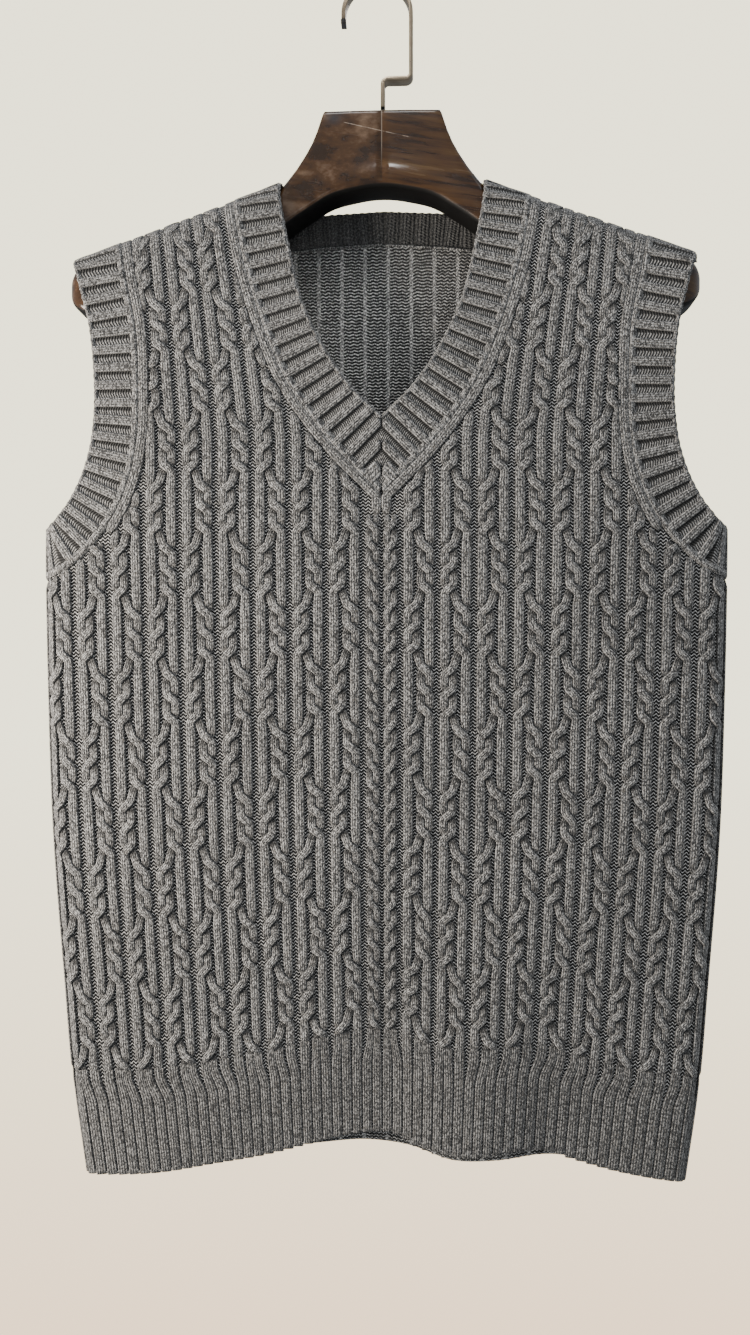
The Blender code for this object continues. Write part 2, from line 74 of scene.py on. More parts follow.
# place across, height of the hem there, how far a wave pushes it out
frontHem = (
    (-240, -853, 0),
    (-155, -849, 2),
    (-120, -843, 0),
    (-85, -837, -2),
    (-50, -828, -3),
    (-20, -821.5, -5),
    (8, -820.5, -5),
    (25, -826.5, 0),
    (45, -832, 5),
    (70, -833, 8),
    (92, -829.5, 5),
    (114, -829.5, 0),
    (135, -836, -1),
    (161, -843, 0),
    (187, -847.5, 2),
    (240, -854, 0),
)
backHem = (
    (-240, -853, 0),
    (-120, -844, 2),
    (-50, -835.5, -1),
    (-10, -831.5, -3),
    (20, -835, -4),
    (50, -844.5, -6),
    (80, -844.5, -6),
    (115, -840, -3),
    (160, -845, 1),
    (240, -854, 0),
)

# neckband from shoulder to middle: free edge x and z, seam x and z
# None is the shoulder seam
frontNeck = (
    (72.8, None, 105.6, None),
    (72, -156, 103.5, -167),
    (66, -191, 98, -199),
    (56.8, -230, 87, -238),
    (42, -263, 68, -286),
    (22, -292.5, 33.5, -334),
    (0, -314.5, 0, -368),
)
backNeck = (
    (72.8, None, 105.6, None),
    (71.8, -149, 98, -166),
    (62, -158.5, 76, -182.5),
    (38, -157.5, 42, -181.5),
    (0, -155.5, 0, -179),
)

# armhole band from shoulder to side, in the same columns
# a z of None is the shoulder seam and an x of None the side fold
armhole = (
    (222.5, None, 187.5, None),
    (212, -222, 179.5, -217),
    (206, -247, 173, -252),
    (202.8, -280, 171.5, -290),
    (203, -312, 172.5, -325),
    (207, -337, 178, -354),
    (216, -361, 189, -380),
    (229.5, -381, 208, -405),
    (238, -388, 228, -421),
    (None, -391.5, None, -427),
)


def smoothCurve(keys, values):
    keys, values = np.array(keys, float), np.array(values, float)
    slopes = np.gradient(values, keys)

    def valueAt(at):
        at = np.clip(np.asarray(at, float), keys[0], keys[-1])
        row = np.clip(np.searchsorted(keys, at) - 1, 0, len(keys) - 2)
        step = keys[row + 1] - keys[row]
        t = (at - keys[row]) / step
        lean = step * (slopes[row] * (t**3 - 2 * t**2 + t) + slopes[row + 1] * (t**3 - t**2))
        return values[row] + (values[row + 1] - values[row]) * (3 * t**2 - 2 * t**3) + lean

    return valueAt


def columnCurve(table, column):
    return smoothCurve([row[0] for row in table], [row[column] for row in table])


halfWidth, foldRadius = columnCurve(levels, 1), columnCurve(levels, 2)
sideDepth, midDepth = columnCurve(levels, 3), columnCurve(levels, 4)
hemCurves = {front: columnCurve(frontHem, 1), back: columnCurve(backHem, 1)}
waveCurves = {front: columnCurve(frontHem, 2), back: columnCurve(backHem, 2)}


def eased(t):
    t = np.clip(t, 0, 1)
    return t * t * (3 - 2 * t)


def hemZ(x, side):
    return np.where(np.asarray(side) < 0, hemCurves[front](x), hemCurves[back](x))


def faceDepth(x, z, side):
    share = np.minimum(np.abs(x) / halfWidth(z), 1) ** 4
    depth = midDepth(z) * (1 - share) + sideDepth(z) * share
    wave = np.where(np.asarray(side) < 0, waveCurves[front](x), waveCurves[back](x))
    above = np.clip((z - hemZ(x, side)) / hem["waveHeight"], 0, 1)
    return depth + wave * (1 - above) ** 2


def middleY(x, z):
    full, gone = shoulder["forwardFull"], shoulder["forwardGone"]
    return -shoulder["tipForward"] * (x / shoulder["tipX"]) ** 2 * eased((z - gone) / (full - gone))


def quarterLength(a, b):
    return math.pi / 2 * np.sqrt((a * a + b * b) / 2)


def shoulderFoldZ(x):
    line = shoulder["neckZ"] - shoulder["slope"] * (np.abs(x) - shoulder["neckX"])
    reach = shoulder["tipX"] - shoulder["tipDropFrom"]
    out = np.maximum(np.abs(x) - shoulder["tipDropFrom"], 0) / reach
    return line - shoulder["rise"] - shoulder["tipDrop"] * out**2


def shoulderSeamZ(x, side):
    fold = shoulderFoldZ(x)
    return fold + quarterLength(shoulder["rise"], faceDepth(x, fold, side))


def atFold(x, z):
    # 1 where the cloth folds over the hanger, 0 below
    return eased((z - shoulderFoldZ(x) + 14) / 18)


def sideFoldX(z):
    radius = foldRadius(z)
    return halfWidth(z) - radius + quarterLength(radius, sideDepth(z))


def outerPoint(x, z, side):
    # where a point of the flat sheet lies once the vest hangs
    x, z = np.asarray(x, float), np.asarray(z, float)
    depth = faceDepth(x, np.minimum(z, shoulderFoldZ(x)), side)
    radius = foldRadius(z)
    past = np.abs(x) - (halfWidth(z) - radius)
    angle = np.maximum(past, 0) / quarterLength(radius, sideDepth(z)) * math.pi / 2
    placeX = np.where(past > 0, np.sign(x) * (np.abs(x) - past + radius * np.sin(angle)), x)
    turn = np.cos(angle)
    past = z - shoulderFoldZ(x)
    angle = np.maximum(past, 0) / quarterLength(shoulder["rise"], depth) * math.pi / 2
    placeZ = np.where(past > 0, z - past + shoulder["rise"] * np.sin(angle), z)
    turn = turn * np.where(past > 0, np.cos(angle), 1)
    return np.stack((placeX, middleY(placeX, placeZ) + side * depth * turn, placeZ), axis=-1)


def onCloth(x, z, side, lift=0):
    # a point of the cloth in metres, lifted out from its outer face
    reach = 0.5
    across = outerPoint(x + reach, z, side) - outerPoint(x - reach, z, side)
    up = outerPoint(x, z + reach, side) - outerPoint(x, z - reach, side)
    whole = np.ones(np.shape(x))[..., None]
    outward = np.cross(across, up) * -np.asarray(side * whole[..., 0])[..., None]
    outward /= np.linalg.norm(outward, axis=-1, keepdims=True)
    return (outerPoint(x, z, side) + outward * (lift * whole[..., 0])[..., None]) * mm


# how the knitting lies in the sheet
knit = {
    "wale": 3.7,
    "course": 2.35,
    "firstLadder": 13.3,  # purl ladders stand at the middle, here, and then every pitch
    "ladderPitch": 25.9,
    "ladders": 10,
    "coursesPerCrossing": 6,
    "firstCrossing": -363.2,
    "firstRow": -17,
    "lastRow": 28,
    "ribTop": -751.8,
    "straightAbove": -363,
    "fanFrom": -331,
    "fanTo": -188,
}
crossingPitch = knit["course"] * knit["coursesPerCrossing"]
fanCurve = smoothCurve((0, 39, 65, 91, 143, 169, 195, 260), (10, 19, 21, 19, 12, 9, 7, 6))


def ladderU(number):
    if not number:
        return 0
    return math.copysign(knit["firstLadder"] + knit["ladderPitch"] * (abs(number) - 1), number)


def sagAt(x, v, side):
    # the rows hang lower at the sides, down to the line where the rib starts
    low = (knit["straightAbove"] - v) / (knit["straightAbove"] - knit["ribTop"])
    return (knit["ribTop"] - (hemZ(x, side) + hem["ribHeight"])) * np.clip(low, 0, 1.15) ** 1.3


def spread(u, z):
    # how much the wales widen to the sides, and how far the V of the neck pushes them out
    scale = np.where(z < -400, sideFoldX(z) / sideFoldX(-400), 1)
    up = np.clip((z - knit["fanFrom"]) / (knit["fanTo"] - knit["fanFrom"]), 0, 1.3) ** 1.2
    return scale, fanCurve(np.abs(u)) * up * np.minimum(np.abs(u) / 20, 1)


def fabricToSheet(u, v, side):
    x = np.array(u, float) * np.ones(np.shape(v))
    for _ in range(4):
        z = v - sagAt(x, v, side)
        scale, fan = spread(u, z)
        x = u * scale + np.sign(u) * fan
    return x, z


def sheetToFabric(x, z, side):
    v, u = np.array(z, float), np.array(x, float)
    for _ in range(6):
        v = z + sagAt(x, v, side)
        scale, fan = spread(u, z)
        u = (x - np.sign(x) * fan) / scale
    return u, v


# lines in the sheet
linePoints = 240


def lineThrough(points):
    points = np.array(points, float)
    lengths = np.append(0, np.cumsum(np.linalg.norm(np.diff(points, axis=0), axis=1)))
    places = np.linspace(0, lengths[-1], linePoints)
    return np.stack([smoothCurve(lengths, points[:, axis])(places) for axis in (0, 1)], axis=1)


def placesAlong(line):
    return np.append(0, np.cumsum(np.linalg.norm(np.diff(line, axis=0), axis=1)))


def alongLine(line, places):
    lengths = placesAlong(line)
    return np.stack([np.interp(places, lengths, line[:, axis]) for axis in (0, 1)], axis=1)


def lineLength(line):
    return float(placesAlong(line)[-1])


def evenly(line, count):
    return alongLine(line, np.linspace(0, lineLength(line), count))


def bandEdge(table, side, edge):
    column = {"free": 0, "seam": 2}[edge]
    rows = []
    for row in table:
        x, z = row[column:column + 2]
        x = float(sideFoldX(z)) if x is None else x
        rows.append((x, float(shoulderSeamZ(x, side)) if z is None else z))
    return lineThrough(rows)


def neckLine(side, edge):
    return bandEdge(frontNeck if side == front else backNeck, side, edge)


def armholeLine(side, edge):
    return bandEdge(armhole, side, edge)


def movedLine(line, distance):
    # a line set over to one side of another, held on the middle where that one is
    along = np.gradient(line, axis=0)
    square = np.stack((-along[:, 1], along[:, 0]), axis=1) / np.linalg.norm(along, axis=1)[:, None]
    moved = line + square * distance
    moved[line[:, 0] < hem["seamGap"], 0] = 0
    return moved


def insideOutline(points, outline):
    # even-odd test of many points against one closed outline
    inside = np.zeros(len(points), bool)
    for start, end in zip(outline, np.roll(outline, -1, axis=0)):
        rise = end[1] - start[1]
        if rise:
            spans = (start[1] > points[:, 1]) != (end[1] > points[:, 1])
            crossing = start[0] + (end[0] - start[0]) * (points[:, 1] - start[1]) / rise
            inside ^= spans & (points[:, 0] < crossing)
    return inside


def bodyOutline(side):
    neck, arm = neckLine(side, "seam"), armholeLine(side, "seam")
    top = np.linspace(neck[0], arm[0], 30)
    top[:, 1] = shoulderSeamZ(top[:, 0], side)
    low = np.linspace(arm[-1][1], float(hemZ(240, side)) + hem["ribHeight"] + 2, 60)
    sideEdge = np.stack((sideFoldX(low), low), axis=1)
    right = np.vstack((neck[::-1], top[1:], arm[1:], sideEdge[1:]))
    across = np.linspace(sideEdge[-1][0], -sideEdge[-1][0], 159)[1:]
    bottom = np.stack((across, hemZ(across, side) + hem["ribHeight"]), axis=1)
    return np.vstack((right, bottom, (right * (-1, 1))[::-1]))


def areaOf(outline):
    # flat area in square metres
    x, z = outline[:, 0] * mm, outline[:, 1] * mm
    return abs(float(np.dot(x, np.roll(z, -1)) - np.dot(z, np.roll(x, -1)))) / 2


def maths(operation):
    # a method that makes one maths node
    def result(self, *others):
        return self.finish.node("Math", dict(enumerate((self, *others))), operation=operation)

    return result


class Value:
    # one socket of a shader tree, so that shader maths reads as Python
    def __init__(self, finish, socket):
        self.finish, self.socket = finish, socket

    __add__ = __radd__ = maths("ADD")
    __mul__ = __rmul__ = maths("MULTIPLY")
    __sub__, __truediv__, __pow__ = maths("SUBTRACT"), maths("DIVIDE"), maths("POWER")
    cos, abs, fraction = maths("COSINE"), maths("ABSOLUTE"), maths("FRACT")
    atLeast, atMost = maths("MAXIMUM"), maths("MINIMUM")

    def __rsub__(self, other):
        return self.finish.node("Math", {0: other, 1: self}, operation="SUBTRACT")

    def over(self, low, high):
        # a smooth step from 0 to 1
        return self.finish.node("MapRange", {0: self, 1: low, 2: high}, interpolation_type="SMOOTHSTEP")

    def wave(self):
        # a soft wave from 0 to 1, one for each whole number
        return (self * (2 * math.pi)).cos() * 0.5 + 0.5

    def nearest(self, pitch, start=0):
        # signed distance to the nearest of evenly spaced places
        return (((self - start) / pitch + 0.5).fraction() - 0.5) * pitch

    def spot(self, centre, reach):
        # 1 at a place, fading to nothing
        return 1 - ((self - centre) / reach).abs().over(0, 1)


class Nodes:
    # makes and links the nodes of one shader tree
    def __init__(self, tree):
        self.tree = tree

    def feed(self, socket, value):
        if isinstance(value, Value):
            self.tree.links.new(value.socket, socket)
        elif isinstance(value, (tuple, list)) and socket.type == "RGBA":
            socket.default_value = (*value[:3], 1)
        else:
            socket.default_value = value

    def node(self, kind, sockets=None, out=0, **settings):
        made = self.tree.nodes.new("ShaderNode" + kind)
        for key, value in settings.items():
            if key == "stops":
                ramp = made.color_ramp
                for _ in value[2:]:
                    ramp.elements.new(1)
                for stop, (place, colour) in zip(ramp.elements, value):
                    stop.position, stop.color = place, (*colour, 1)
            else:
                setattr(made, key, value)
        for key, value in (sockets or {}).items():
            self.feed(made.inputs[key], value)
        return Value(self, made.outputs[out])

    def mixed(self, factor, one, other):
        return self.node("Mix", {0: factor, 6: one, 7: other}, 2, data_type="RGBA", blend_type="MIX")


class Finish(Nodes):
    def __init__(self, name, roughness, **fixed):
        self.material = bpy.data.materials.new(name)
        self.material.use_nodes = True
        super().__init__(self.material.node_tree)
        self.shader = self.tree.nodes["Principled BSDF"]
        self.put(Roughness=roughness, **fixed)

    def attribute(self, name):
        return self.node("Attribute", out=2, attribute_name=name)

    def place(self):
        return self.node("TexCoord", out=3)

    def axis(self, place, number):
        # one axis of a place, in millimetres
        return self.node("SeparateXYZ", {0: place}, number) * 1000

    def stretched(self, vector, scale, turn=0):
        return self.node("Mapping", {"Vector": vector, "Scale": scale, "Rotation": (0, turn, 0)})

    def noise(self, vector, scale, detail, roughness):
        sockets = {"Vector": vector, "Scale": scale, "Detail": detail, "Roughness": roughness}
        return self.node("TexNoise", sockets)

    def shaded(self, colour, amount):
        # a colour times a grey amount
        return self.node("VectorMath", {0: colour, 3: amount}, operation="SCALE")

    def ramp(self, factor, stops):
        return self.node("ValToRGB", {0: factor}, stops=stops)

    def put(self, **values):
        for socket, value in values.items():
            self.feed(self.shader.inputs[socket.replace("_", " ")], value)

    def bump(self, height, distance):
        self.put(Normal=self.node("Bump", {"Height": height, "Distance": distance}))

    def colour(self, value):
        self.put(Base_Color=value)


yarn = {
    "dark": (0.036, 0.036, 0.037),
    "mid": (0.170, 0.168, 0.165),
    "light": (0.500, 0.496, 0.484),
    "warm": (0.290, 0.268, 0.238),
    "bar": (0.270, 0.268, 0.262),
    "stops": (0.43, 0.50, 0.57),
    "fleckScale": 1080,
    "roughness": 0.93,
}


def marled(finish, place, paintedLightLevel=1):
    # heathered yarn: short light and dark flecks, with a few warm ones
    flecks = finish.noise(finish.stretched(place, (1, 1, 0.55)), yarn["fleckScale"], 2, 0.65)
    base = finish.ramp(flecks, tuple(zip(yarn["stops"], (yarn["dark"], yarn["mid"], yarn["light"]))))
    warmth = finish.noise(place, 260, 2, 0.5).over(0.60, 0.72)
    patches = finish.noise(place, 14, 2, 0.5).over(0.2, 0.8) * 0.16 + 0.92
    return finish.shaded(finish.mixed(warmth * 0.45, base, yarn["warm"]), patches * paintedLightLevel)


strandMarks = ("across", "rim", "along", "shade")


def strandFinish(name, course, rowShare, paintedLightLevel, groove):
    # wales of knit stitches: "across" counts wales and "along" is in millimetres
    finish = Finish(name, yarn["roughness"], Sheen_Weight=0.2, Sheen_Roughness=0.6)
    across, rim, along, shade = (finish.attribute(key) for key in strandMarks)
    fromWale = across.nearest(1, 0.5).abs() * 2
    rows = (along / course + fromWale * 0.6).wave()
    legs = 1 - (across * 2).wave()
    stitch = (rows * rowShare + (1 - rowShare)) * (legs * 0.75 + 0.25)
    place = finish.place()
    fuzz = finish.noise(place, 2600, 2, 0.6)
    # painted shade: the yarn is painted darker between the stitches, along each strand's rims where it
    # dips against its neighbours, by groove, and under the crossings, by the shade mark
    edge = 1 - rim.over(0.84, 1) * groove
    light = (stitch * 1.42 + 0.2) * edge * (1 - shade)
    finish.colour(finish.shaded(marled(finish, place, paintedLightLevel), light))
    finish.bump(stitch + fuzz * 0.35, 0.001)
    return finish.material


def purled(finish, share, light, height, depth, paintedLightLevel=1):
    # marl mixed with plain grey; "light" is painted light and shade: how much light each bump catches,
    # and dark in the gaps between bumps
    base = finish.mixed(share, marled(finish, finish.place(), paintedLightLevel), yarn["bar"])
    finish.colour(finish.shaded(base, light))
    finish.bump(height, depth)
    return finish.material


def groundFinish(name):
    # the purl ground between strands: short bars that zigzag down each ladder, painted light on the bars
    # and painted shade, near black, in the gaps between them
    finish = Finish(name, 0.95, Sheen_Weight=0.1)
    u, v = finish.attribute("fabricU"), finish.attribute("fabricV")
    wave = (u / knit["wale"]).wave() * 0.56
    bar = (v / knit["course"] + wave).wave()
    return purled(finish, 0.5, bar**5 * 2.8, bar, 0.0012)


def bandGroundFinish(name, pitch):
    # a purl valley between two ribs of a band, with slanting bars, and a painted shadow under its upper
    # rib
    finish = Finish(name, 0.95, Sheen_Weight=0.1)
    along, across = finish.attribute("bandAlong"), finish.attribute("bandAcross")
    offset = along.nearest(pitch)
    bar = (across / band["course"] + offset.abs() * 0.2).wave()
    upperRibShadow = 1 - (offset * -1).over(-0.2, 1.2) * 0.88
    return purled(finish, 0.5, (bar**2 * 1.4 + 0.1) * upperRibShadow, bar, 0.001)


def reverseFinish(name):
    # the wrong side: wavy rows of purl bumps, with a few knit lines between them
    finish = Finish(name, 0.95, Sheen_Weight=0.15)
    u, v = finish.attribute("fabricU"), finish.attribute("fabricV")
    place = finish.place()
    fromLine = finish.axis(place, 0).nearest(17, 3).abs()
    knitLine = 1 - fromLine.over(0.8, 1.7)
    drift = finish.noise(place, 70, 2, 0.5) * 0.8
    bumps = (v / knit["course"] + (u / knit["wale"]).wave() * 0.36 + drift).wave()
    legs = (v / knit["course"] + fromLine * 0.25).wave() * 0.45 + 0.35
    height = bumps**2 * (1 - knitLine) + legs * knitLine
    # painted light: the wrong side's yarn is painted 1.3 times lighter
    return purled(finish, 0.35, height * 2.3 + 0.05, height, 0.0014, 1.3)


def bandReverseFinish(name, pitch, paintedLightLevel):
    # the wrong side of a band: its valleys stand out as fine ribs
    finish = Finish(name, 0.95, Sheen_Weight=0.1)
    along, across = finish.attribute("bandAlong"), finish.attribute("bandAcross")
    offset = along.nearest(pitch).abs()
    rib = 1 - offset.over(pitch * 0.16, pitch * 0.26)
    row = (across / knit["course"] + offset * 0.2).wave()
    height = rib * 0.25 + row * 0.3 + (along / (pitch / 4)).wave() * 0.45
    return purled(finish, 0.4, (height * 0.6 + 0.3) * paintedLightLevel, height, 0.0014)


def newObject(name, data):
    made = bpy.data.objects.new(name, data)
    bpy.context.scene.collection.objects.link(made)
    return made


def meshObject(bm, name, materials):
    mesh = bpy.data.meshes.new(name)
    bm.to_mesh(mesh)
    bm.free()
    for material in materials:
        mesh.materials.append(material)
    mesh.shade_smooth()
    return newObject(name, mesh)


def linkObject(bm, name, materials):
    piece = meshObject(bm, name, materials)
    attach(piece, "root")
    return piece


def layGrid(bm, points, marks):
    # faces over rows of points in metres, with the values of each mark at its corners
    layers = {key: bm.verts.layers.float.get(key) or bm.verts.layers.float.new(key) for key in marks}
    rows, columns = points.shape[:2]
    grid = bmesh.ops.create_grid(bm, x_segments=columns - 1, y_segments=rows - 1, size=0.5)
    for number, vert in enumerate(grid["verts"]):
        place = divmod(number, columns)
        vert.co = points[place]
        for key, values in marks.items():
            vert[layers[key]] = values[place]


def closeMesh(bm, gap):
    bmesh.ops.remove_doubles(bm, verts=bm.verts, dist=gap)
    bmesh.ops.recalc_face_normals(bm, faces=bm.faces)


# sections of a strand: place across and height of each corner, and its mark across
pairRing = np.array((
    (-1, -0.88, -0.5, 0.5, 0.88, 1, 0),
    (-0.5, 0.7, 1, 1, 0.7, -0.5, -0.8),
    (-1, -0.88, -0.5, 0.5, 0.88, 1, 1),
))
roundRing = np.array((
    (-1, -0.6, 0, 0.6, 1, 0),
    (0, 0.8, 1, 0.8, 0, -0.9),
    (-0.7, -0.5, 0.3, 0.5, 0.7, 0.7),
))


def strandTube(x, z, side, lift, wide, high, along, ring=pairRing, shade=0, taper=False, mitre=0):
    # rings of points round one strand of two wales, closed to a point at each end
    across, up, mark = ring
    heading = np.stack((np.gradient(x), np.gradient(z)), axis=1)
    heading /= np.linalg.norm(heading, axis=1)[:, None] + 1e-9
    sizes = (side, lift, wide, high, shade)
    side, lift, wide, high, shade = (np.ones(len(x)) * value for value in sizes)
    if taper:
        # the ends thin out to half and sink into the ground
        fromEnd = np.minimum(np.arange(len(x)), np.arange(len(x))[::-1])
        full = eased((fromEnd + 0.3) / 2.5)
        thin = 0.5 + 0.5 * full
        wide, high, lift = wide * thin, high * thin, lift - 0.8 * (1 - full)
    placeX = x[:, None] - heading[:, 1:2] * across * wide[:, None]
    placeZ = z[:, None] + heading[:, 0:1] * across * wide[:, None]
    if mitre:
        hand = math.copysign(1, x.mean())
        placeX = np.maximum(placeX * hand, mitre) * hand
        x = np.maximum(x * hand, mitre) * hand
    ringSide = side[:, None] * np.ones(len(across))
    rings = onCloth(placeX, placeZ, ringSide, lift[:, None] + up * high[:, None])
    caps = [onCloth(x[[end]], z[[end]], side[[end]], lift[[end]]) for end in (0, -1)]
    caps = [np.repeat(cap[None], len(across), 1) for cap in caps]
    rings = np.concatenate((caps[0], rings, caps[1]))
    along, shade = (np.concatenate(([row[0]], row, [row[-1]]))[:, None] for row in (along, shade))
    marks = (mark + 0 * along, np.abs(mark) + 0 * along, along + 0 * mark, shade + 0 * mark)
    around = [*range(len(across)), 0]
    return rings[:, around], {key: values[:, around] for key, values in zip(strandMarks, marks)}


def lineTube(line, sign, side, lift, wide, high, *more, **settings):
    # one strand along a line, with the rest as strandTube takes it
    x, z = line.T
    return strandTube(x * sign, z, side, lift, wide, high, placesAlong(line), *more, **settings)


def joinTubes(name, tubes, material):
    bm = bmesh.new()
    for rings, marks in tubes:
        layGrid(bm, rings, marks)
    closeMesh(bm, 1e-7)
    print(name, len(tubes), "strands,", len(bm.faces), "faces")
    return linkObject(bm, name, [material])


wall = {"thick": 1.7, "groundDepth": 1.5, "columns": 40, "rowsDown": 90}


def layWall(bm, x, z, side, marks, depth=wall["groundDepth"]):
    # one grid of the wall, from arrays of rows of sheet places
    layGrid(bm, onCloth(x, z, side * np.ones(x.shape), -depth * (1 - 0.4 * atFold(x, z))), marks)


def layKnitWall(bm, x, z, side):
    u, v = sheetToFabric(x, z, side)
    layWall(bm, x, z, side, {"fabricU": u, "fabricV": v})


def closeWall(bm, name, materials):
    closeMesh(bm, 2e-5)
    piece = linkObject(bm, name, materials)
    thicken = piece.modifiers.new("thickness", "SOLIDIFY")
    thicken.thickness = wall["thick"] * mm
    thicken.offset = -1
    thicken.use_even_offset = False
    thicken.material_offset = 1
    return piece


def bodyGrid(side, sign):
    # rows from the shoulder down to the top of the rib
    neck = movedLine(evenly(neckLine(side, "seam"), 60 if side == front else 34), hem["seamGap"])
    arm = movedLine(evenly(armholeLine(side, "seam"), wall["rowsDown"]), -hem["seamGap"])
    below = np.linspace(neck[-1][1], arm[-1][1], wall["rowsDown"] - len(neck) + 1)[1:]
    inner = np.vstack((neck, np.stack((0 * below, below), axis=1)))
    shares = np.linspace(0, 1, wall["columns"])[None, :, None]
    rows = inner[:, None, :] * (1 - shares) + arm[:, None, :] * shares
    x, z = rows[..., 0], rows[..., 1]
    z[0] = shoulderSeamZ(x[0], side) - hem["seamGap"]
    lowX, startX, startZ = x[-1], x[-1], z[-1]
    shares = np.linspace(0, 1, wall["rowsDown"])[1:, None]
    for _ in range(4):
        bottom = hemZ(sign * lowX, side) + hem["ribHeight"] + hem["seamGap"]
        lowZ = startZ + (bottom - startZ) * shares
        lowX = startX / sideFoldX(startZ) * sideFoldX(lowZ)
    return np.vstack((x, lowX)) * sign, np.vstack((z, lowZ))


def makeBodyWall(name, side, materials):
    bm = bmesh.new()
    for sign in (1, -1):
        layKnitWall(bm, *bodyGrid(side, sign), side)
    return closeWall(bm, name, materials)


cable = {
    "ladder": 4,
    "middleLadder": 2.6,
    # place across and half width of three strands, with the crossing pair at the left or right
    "pairLeft": ((3.15, 9.45, 18.25), (3.15, 3.15, 3.6)),
    "pairRight": ((3.65, 12.45, 18.75), (3.6, 3.15, 3.15)),
    "inTurn": 3,  # crossings at one side before they change to the other
    "pairChange": 12,
    "high": 1.15,
    "lift": -0.6,
    "over": 1.35,
    "under": -1.3,
    "crossLength": 6.4,
    "humpLength": 9,
    "narrowing": 0.1,  # how much a strand draws in where it crosses
    "steps": (-5.9, -3.7, -2.1, -0.7, 0.7, 2.1, 3.7, 5.9),  # rows of points round each crossing
    "stepDown": 2.4,
    "steady": 0.45,  # how evenly a strand crosses over
    # amount, distance below the crossing and reach of the shade under it, above it, and of its gleam
    "shades": ((0.75, 3.4, 2.3), (0.35, -3.4, 1.8), (-0.25, 0, 4)),
    "flatten": 0.55,  # how much of its height a strand loses on the shoulder's fold
    "edgeHalfWidth": 3.6,
    "edgeInset": 3.7,
    "edgeReach": 7,
    "edgeEnd": -396,
    "thinnest": 1.3,
    "shortest": 5,
    "linkingRow": (-3.5, 1.1, 0.8),  # lift, half width and height
    "mitreEnd": -383,
}


def strandRows():
    centres = knit["firstCrossing"] - crossingPitch * np.arange(knit["firstRow"], knit["lastRow"] + 1)
    v = (centres[:, None] - np.array(cable["steps"])).ravel()
    return v[v > knit["ribTop"] - 3]


def regionStrands(left, right):
    # the strands between two ladders, for every height
    uLeft, uRight = ladderU(left), ladderU(right)
    v = strandRows()
    count = 2 if 0 in (left, right) else 3
    order = list(range(count))
    slots = np.arange(count)[:, None] + 0 * v
    lifts, shades, widths, atRight = 0 * slots, 0 * slots, 1 + 0 * slots, 0 * v
    wasRight = False
    for row in range(knit["firstRow"], knit["lastRow"] + 1):
        centre = knit["firstCrossing"] - crossingPitch * row
        if count == 2:
            slot, downRight = 0, right == 0
        else:
            downRight = (left % 2 == 1) != (row % (2 * cable["inTurn"]) < cable["inTurn"])
            slot = int(downRight)
            if downRight != wasRight:
                change = (centre + crossingPitch / 2 + cable["pairChange"] / 2 - v) / cable["pairChange"]
                atRight += eased(change) * (1 if downRight else -1)
                wasRight = downRight
        t = np.clip((centre + cable["crossLength"] / 2 - v) / cable["crossLength"], 0, 1)
        first, second = order[slot], order[slot + 1]
        over, under = (first, second) if downRight else (second, first)
        moved = cable["steady"] * t + (1 - cable["steady"]) * eased(t)
        slots[first] += moved
        slots[second] -= moved
        near = np.clip((centre + cable["humpLength"] / 2 - v) / cable["humpLength"], 0, 1)
        hump = np.sin(math.pi * near) ** 1.3
        widths[over] -= hump * cable["narrowing"]
        widths[under] -= hump * cable["narrowing"]
        lifts[over] += hump * cable["over"]
        lifts[under] += hump * cable["under"]
        for strand, (amount, drop, reach) in zip((under, under, over), cable["shades"]):
            shades[strand] += amount * np.exp(-(((v - centre + drop) / reach) ** 2))
        order[slot], order[slot + 1] = second, first
    if count == 2:
        start = uLeft + (cable["ladder"] if left else cable["middleLadder"]) / 2
        end = uRight - (cable["ladder"] if right else cable["middleLadder"]) / 2
        half = (end - start) / 4
        u, wide = start + half + slots * 2 * half, half + 0 * slots
    else:
        pairs = (
            [np.interp(slots, range(3), places) for places in columns]
            for columns in zip(cable["pairLeft"], cable["pairRight"])
        )
        places, wide = (one * (1 - atRight) + other * atRight for one, other in pairs)
        u = uLeft + cable["ladder"] / 2 + places
    return list(zip(u, [v] * count, lifts, wide * widths, np.clip(shades, -0.25, 0.8)))


def besideLine(points, wide, line):
    # a strand that would run into the plain one along a seam is moved over and narrowed
    away = points[:, None] - line[None]
    far = np.linalg.norm(away, axis=2)
    nearest = far.argmin(axis=1)
    rows = np.arange(len(points))
    distance = far[rows, nearest]
    shift = np.maximum(cable["edgeReach"] + wide - distance, 0) / 2
    return points + away[rows, nearest] / distance[:, None] * shift[:, None], wide - shift


def plainStrand(u):
    v = strandRows()
    plain = np.zeros(len(v))
    return plain + u, v, plain, plain + cable["edgeHalfWidth"], plain


def allStrands():
    ladders = list(range(-knit["ladders"], knit["ladders"] + 1))
    strands = [plainStrand(-ladderU(knit["ladders"]) - 5.6)]
    for left, right in zip(ladders, ladders[1:]):
        strands += sorted(regionStrands(left, right), key=lambda strand: strand[0][-1])
    return strands + [plainStrand(ladderU(knit["ladders"]) + 5.6)]


def runs(keep, shortest=3):
    # the stretches where a mask holds
    edges = np.flatnonzero(np.diff(np.concatenate(([0], keep.astype(int), [0]))))
    return [(start, end) for start, end in zip(edges[::2], edges[1::2]) if end - start >= shortest]


def strandHeight(x, z):
    # strands lie flatter where the cloth folds over the hanger
    return cable["high"] * (1 - cable["flatten"] * atFold(x, z))


def stepped(line):
    return alongLine(line, np.arange(1, lineLength(line), cable["stepDown"]))


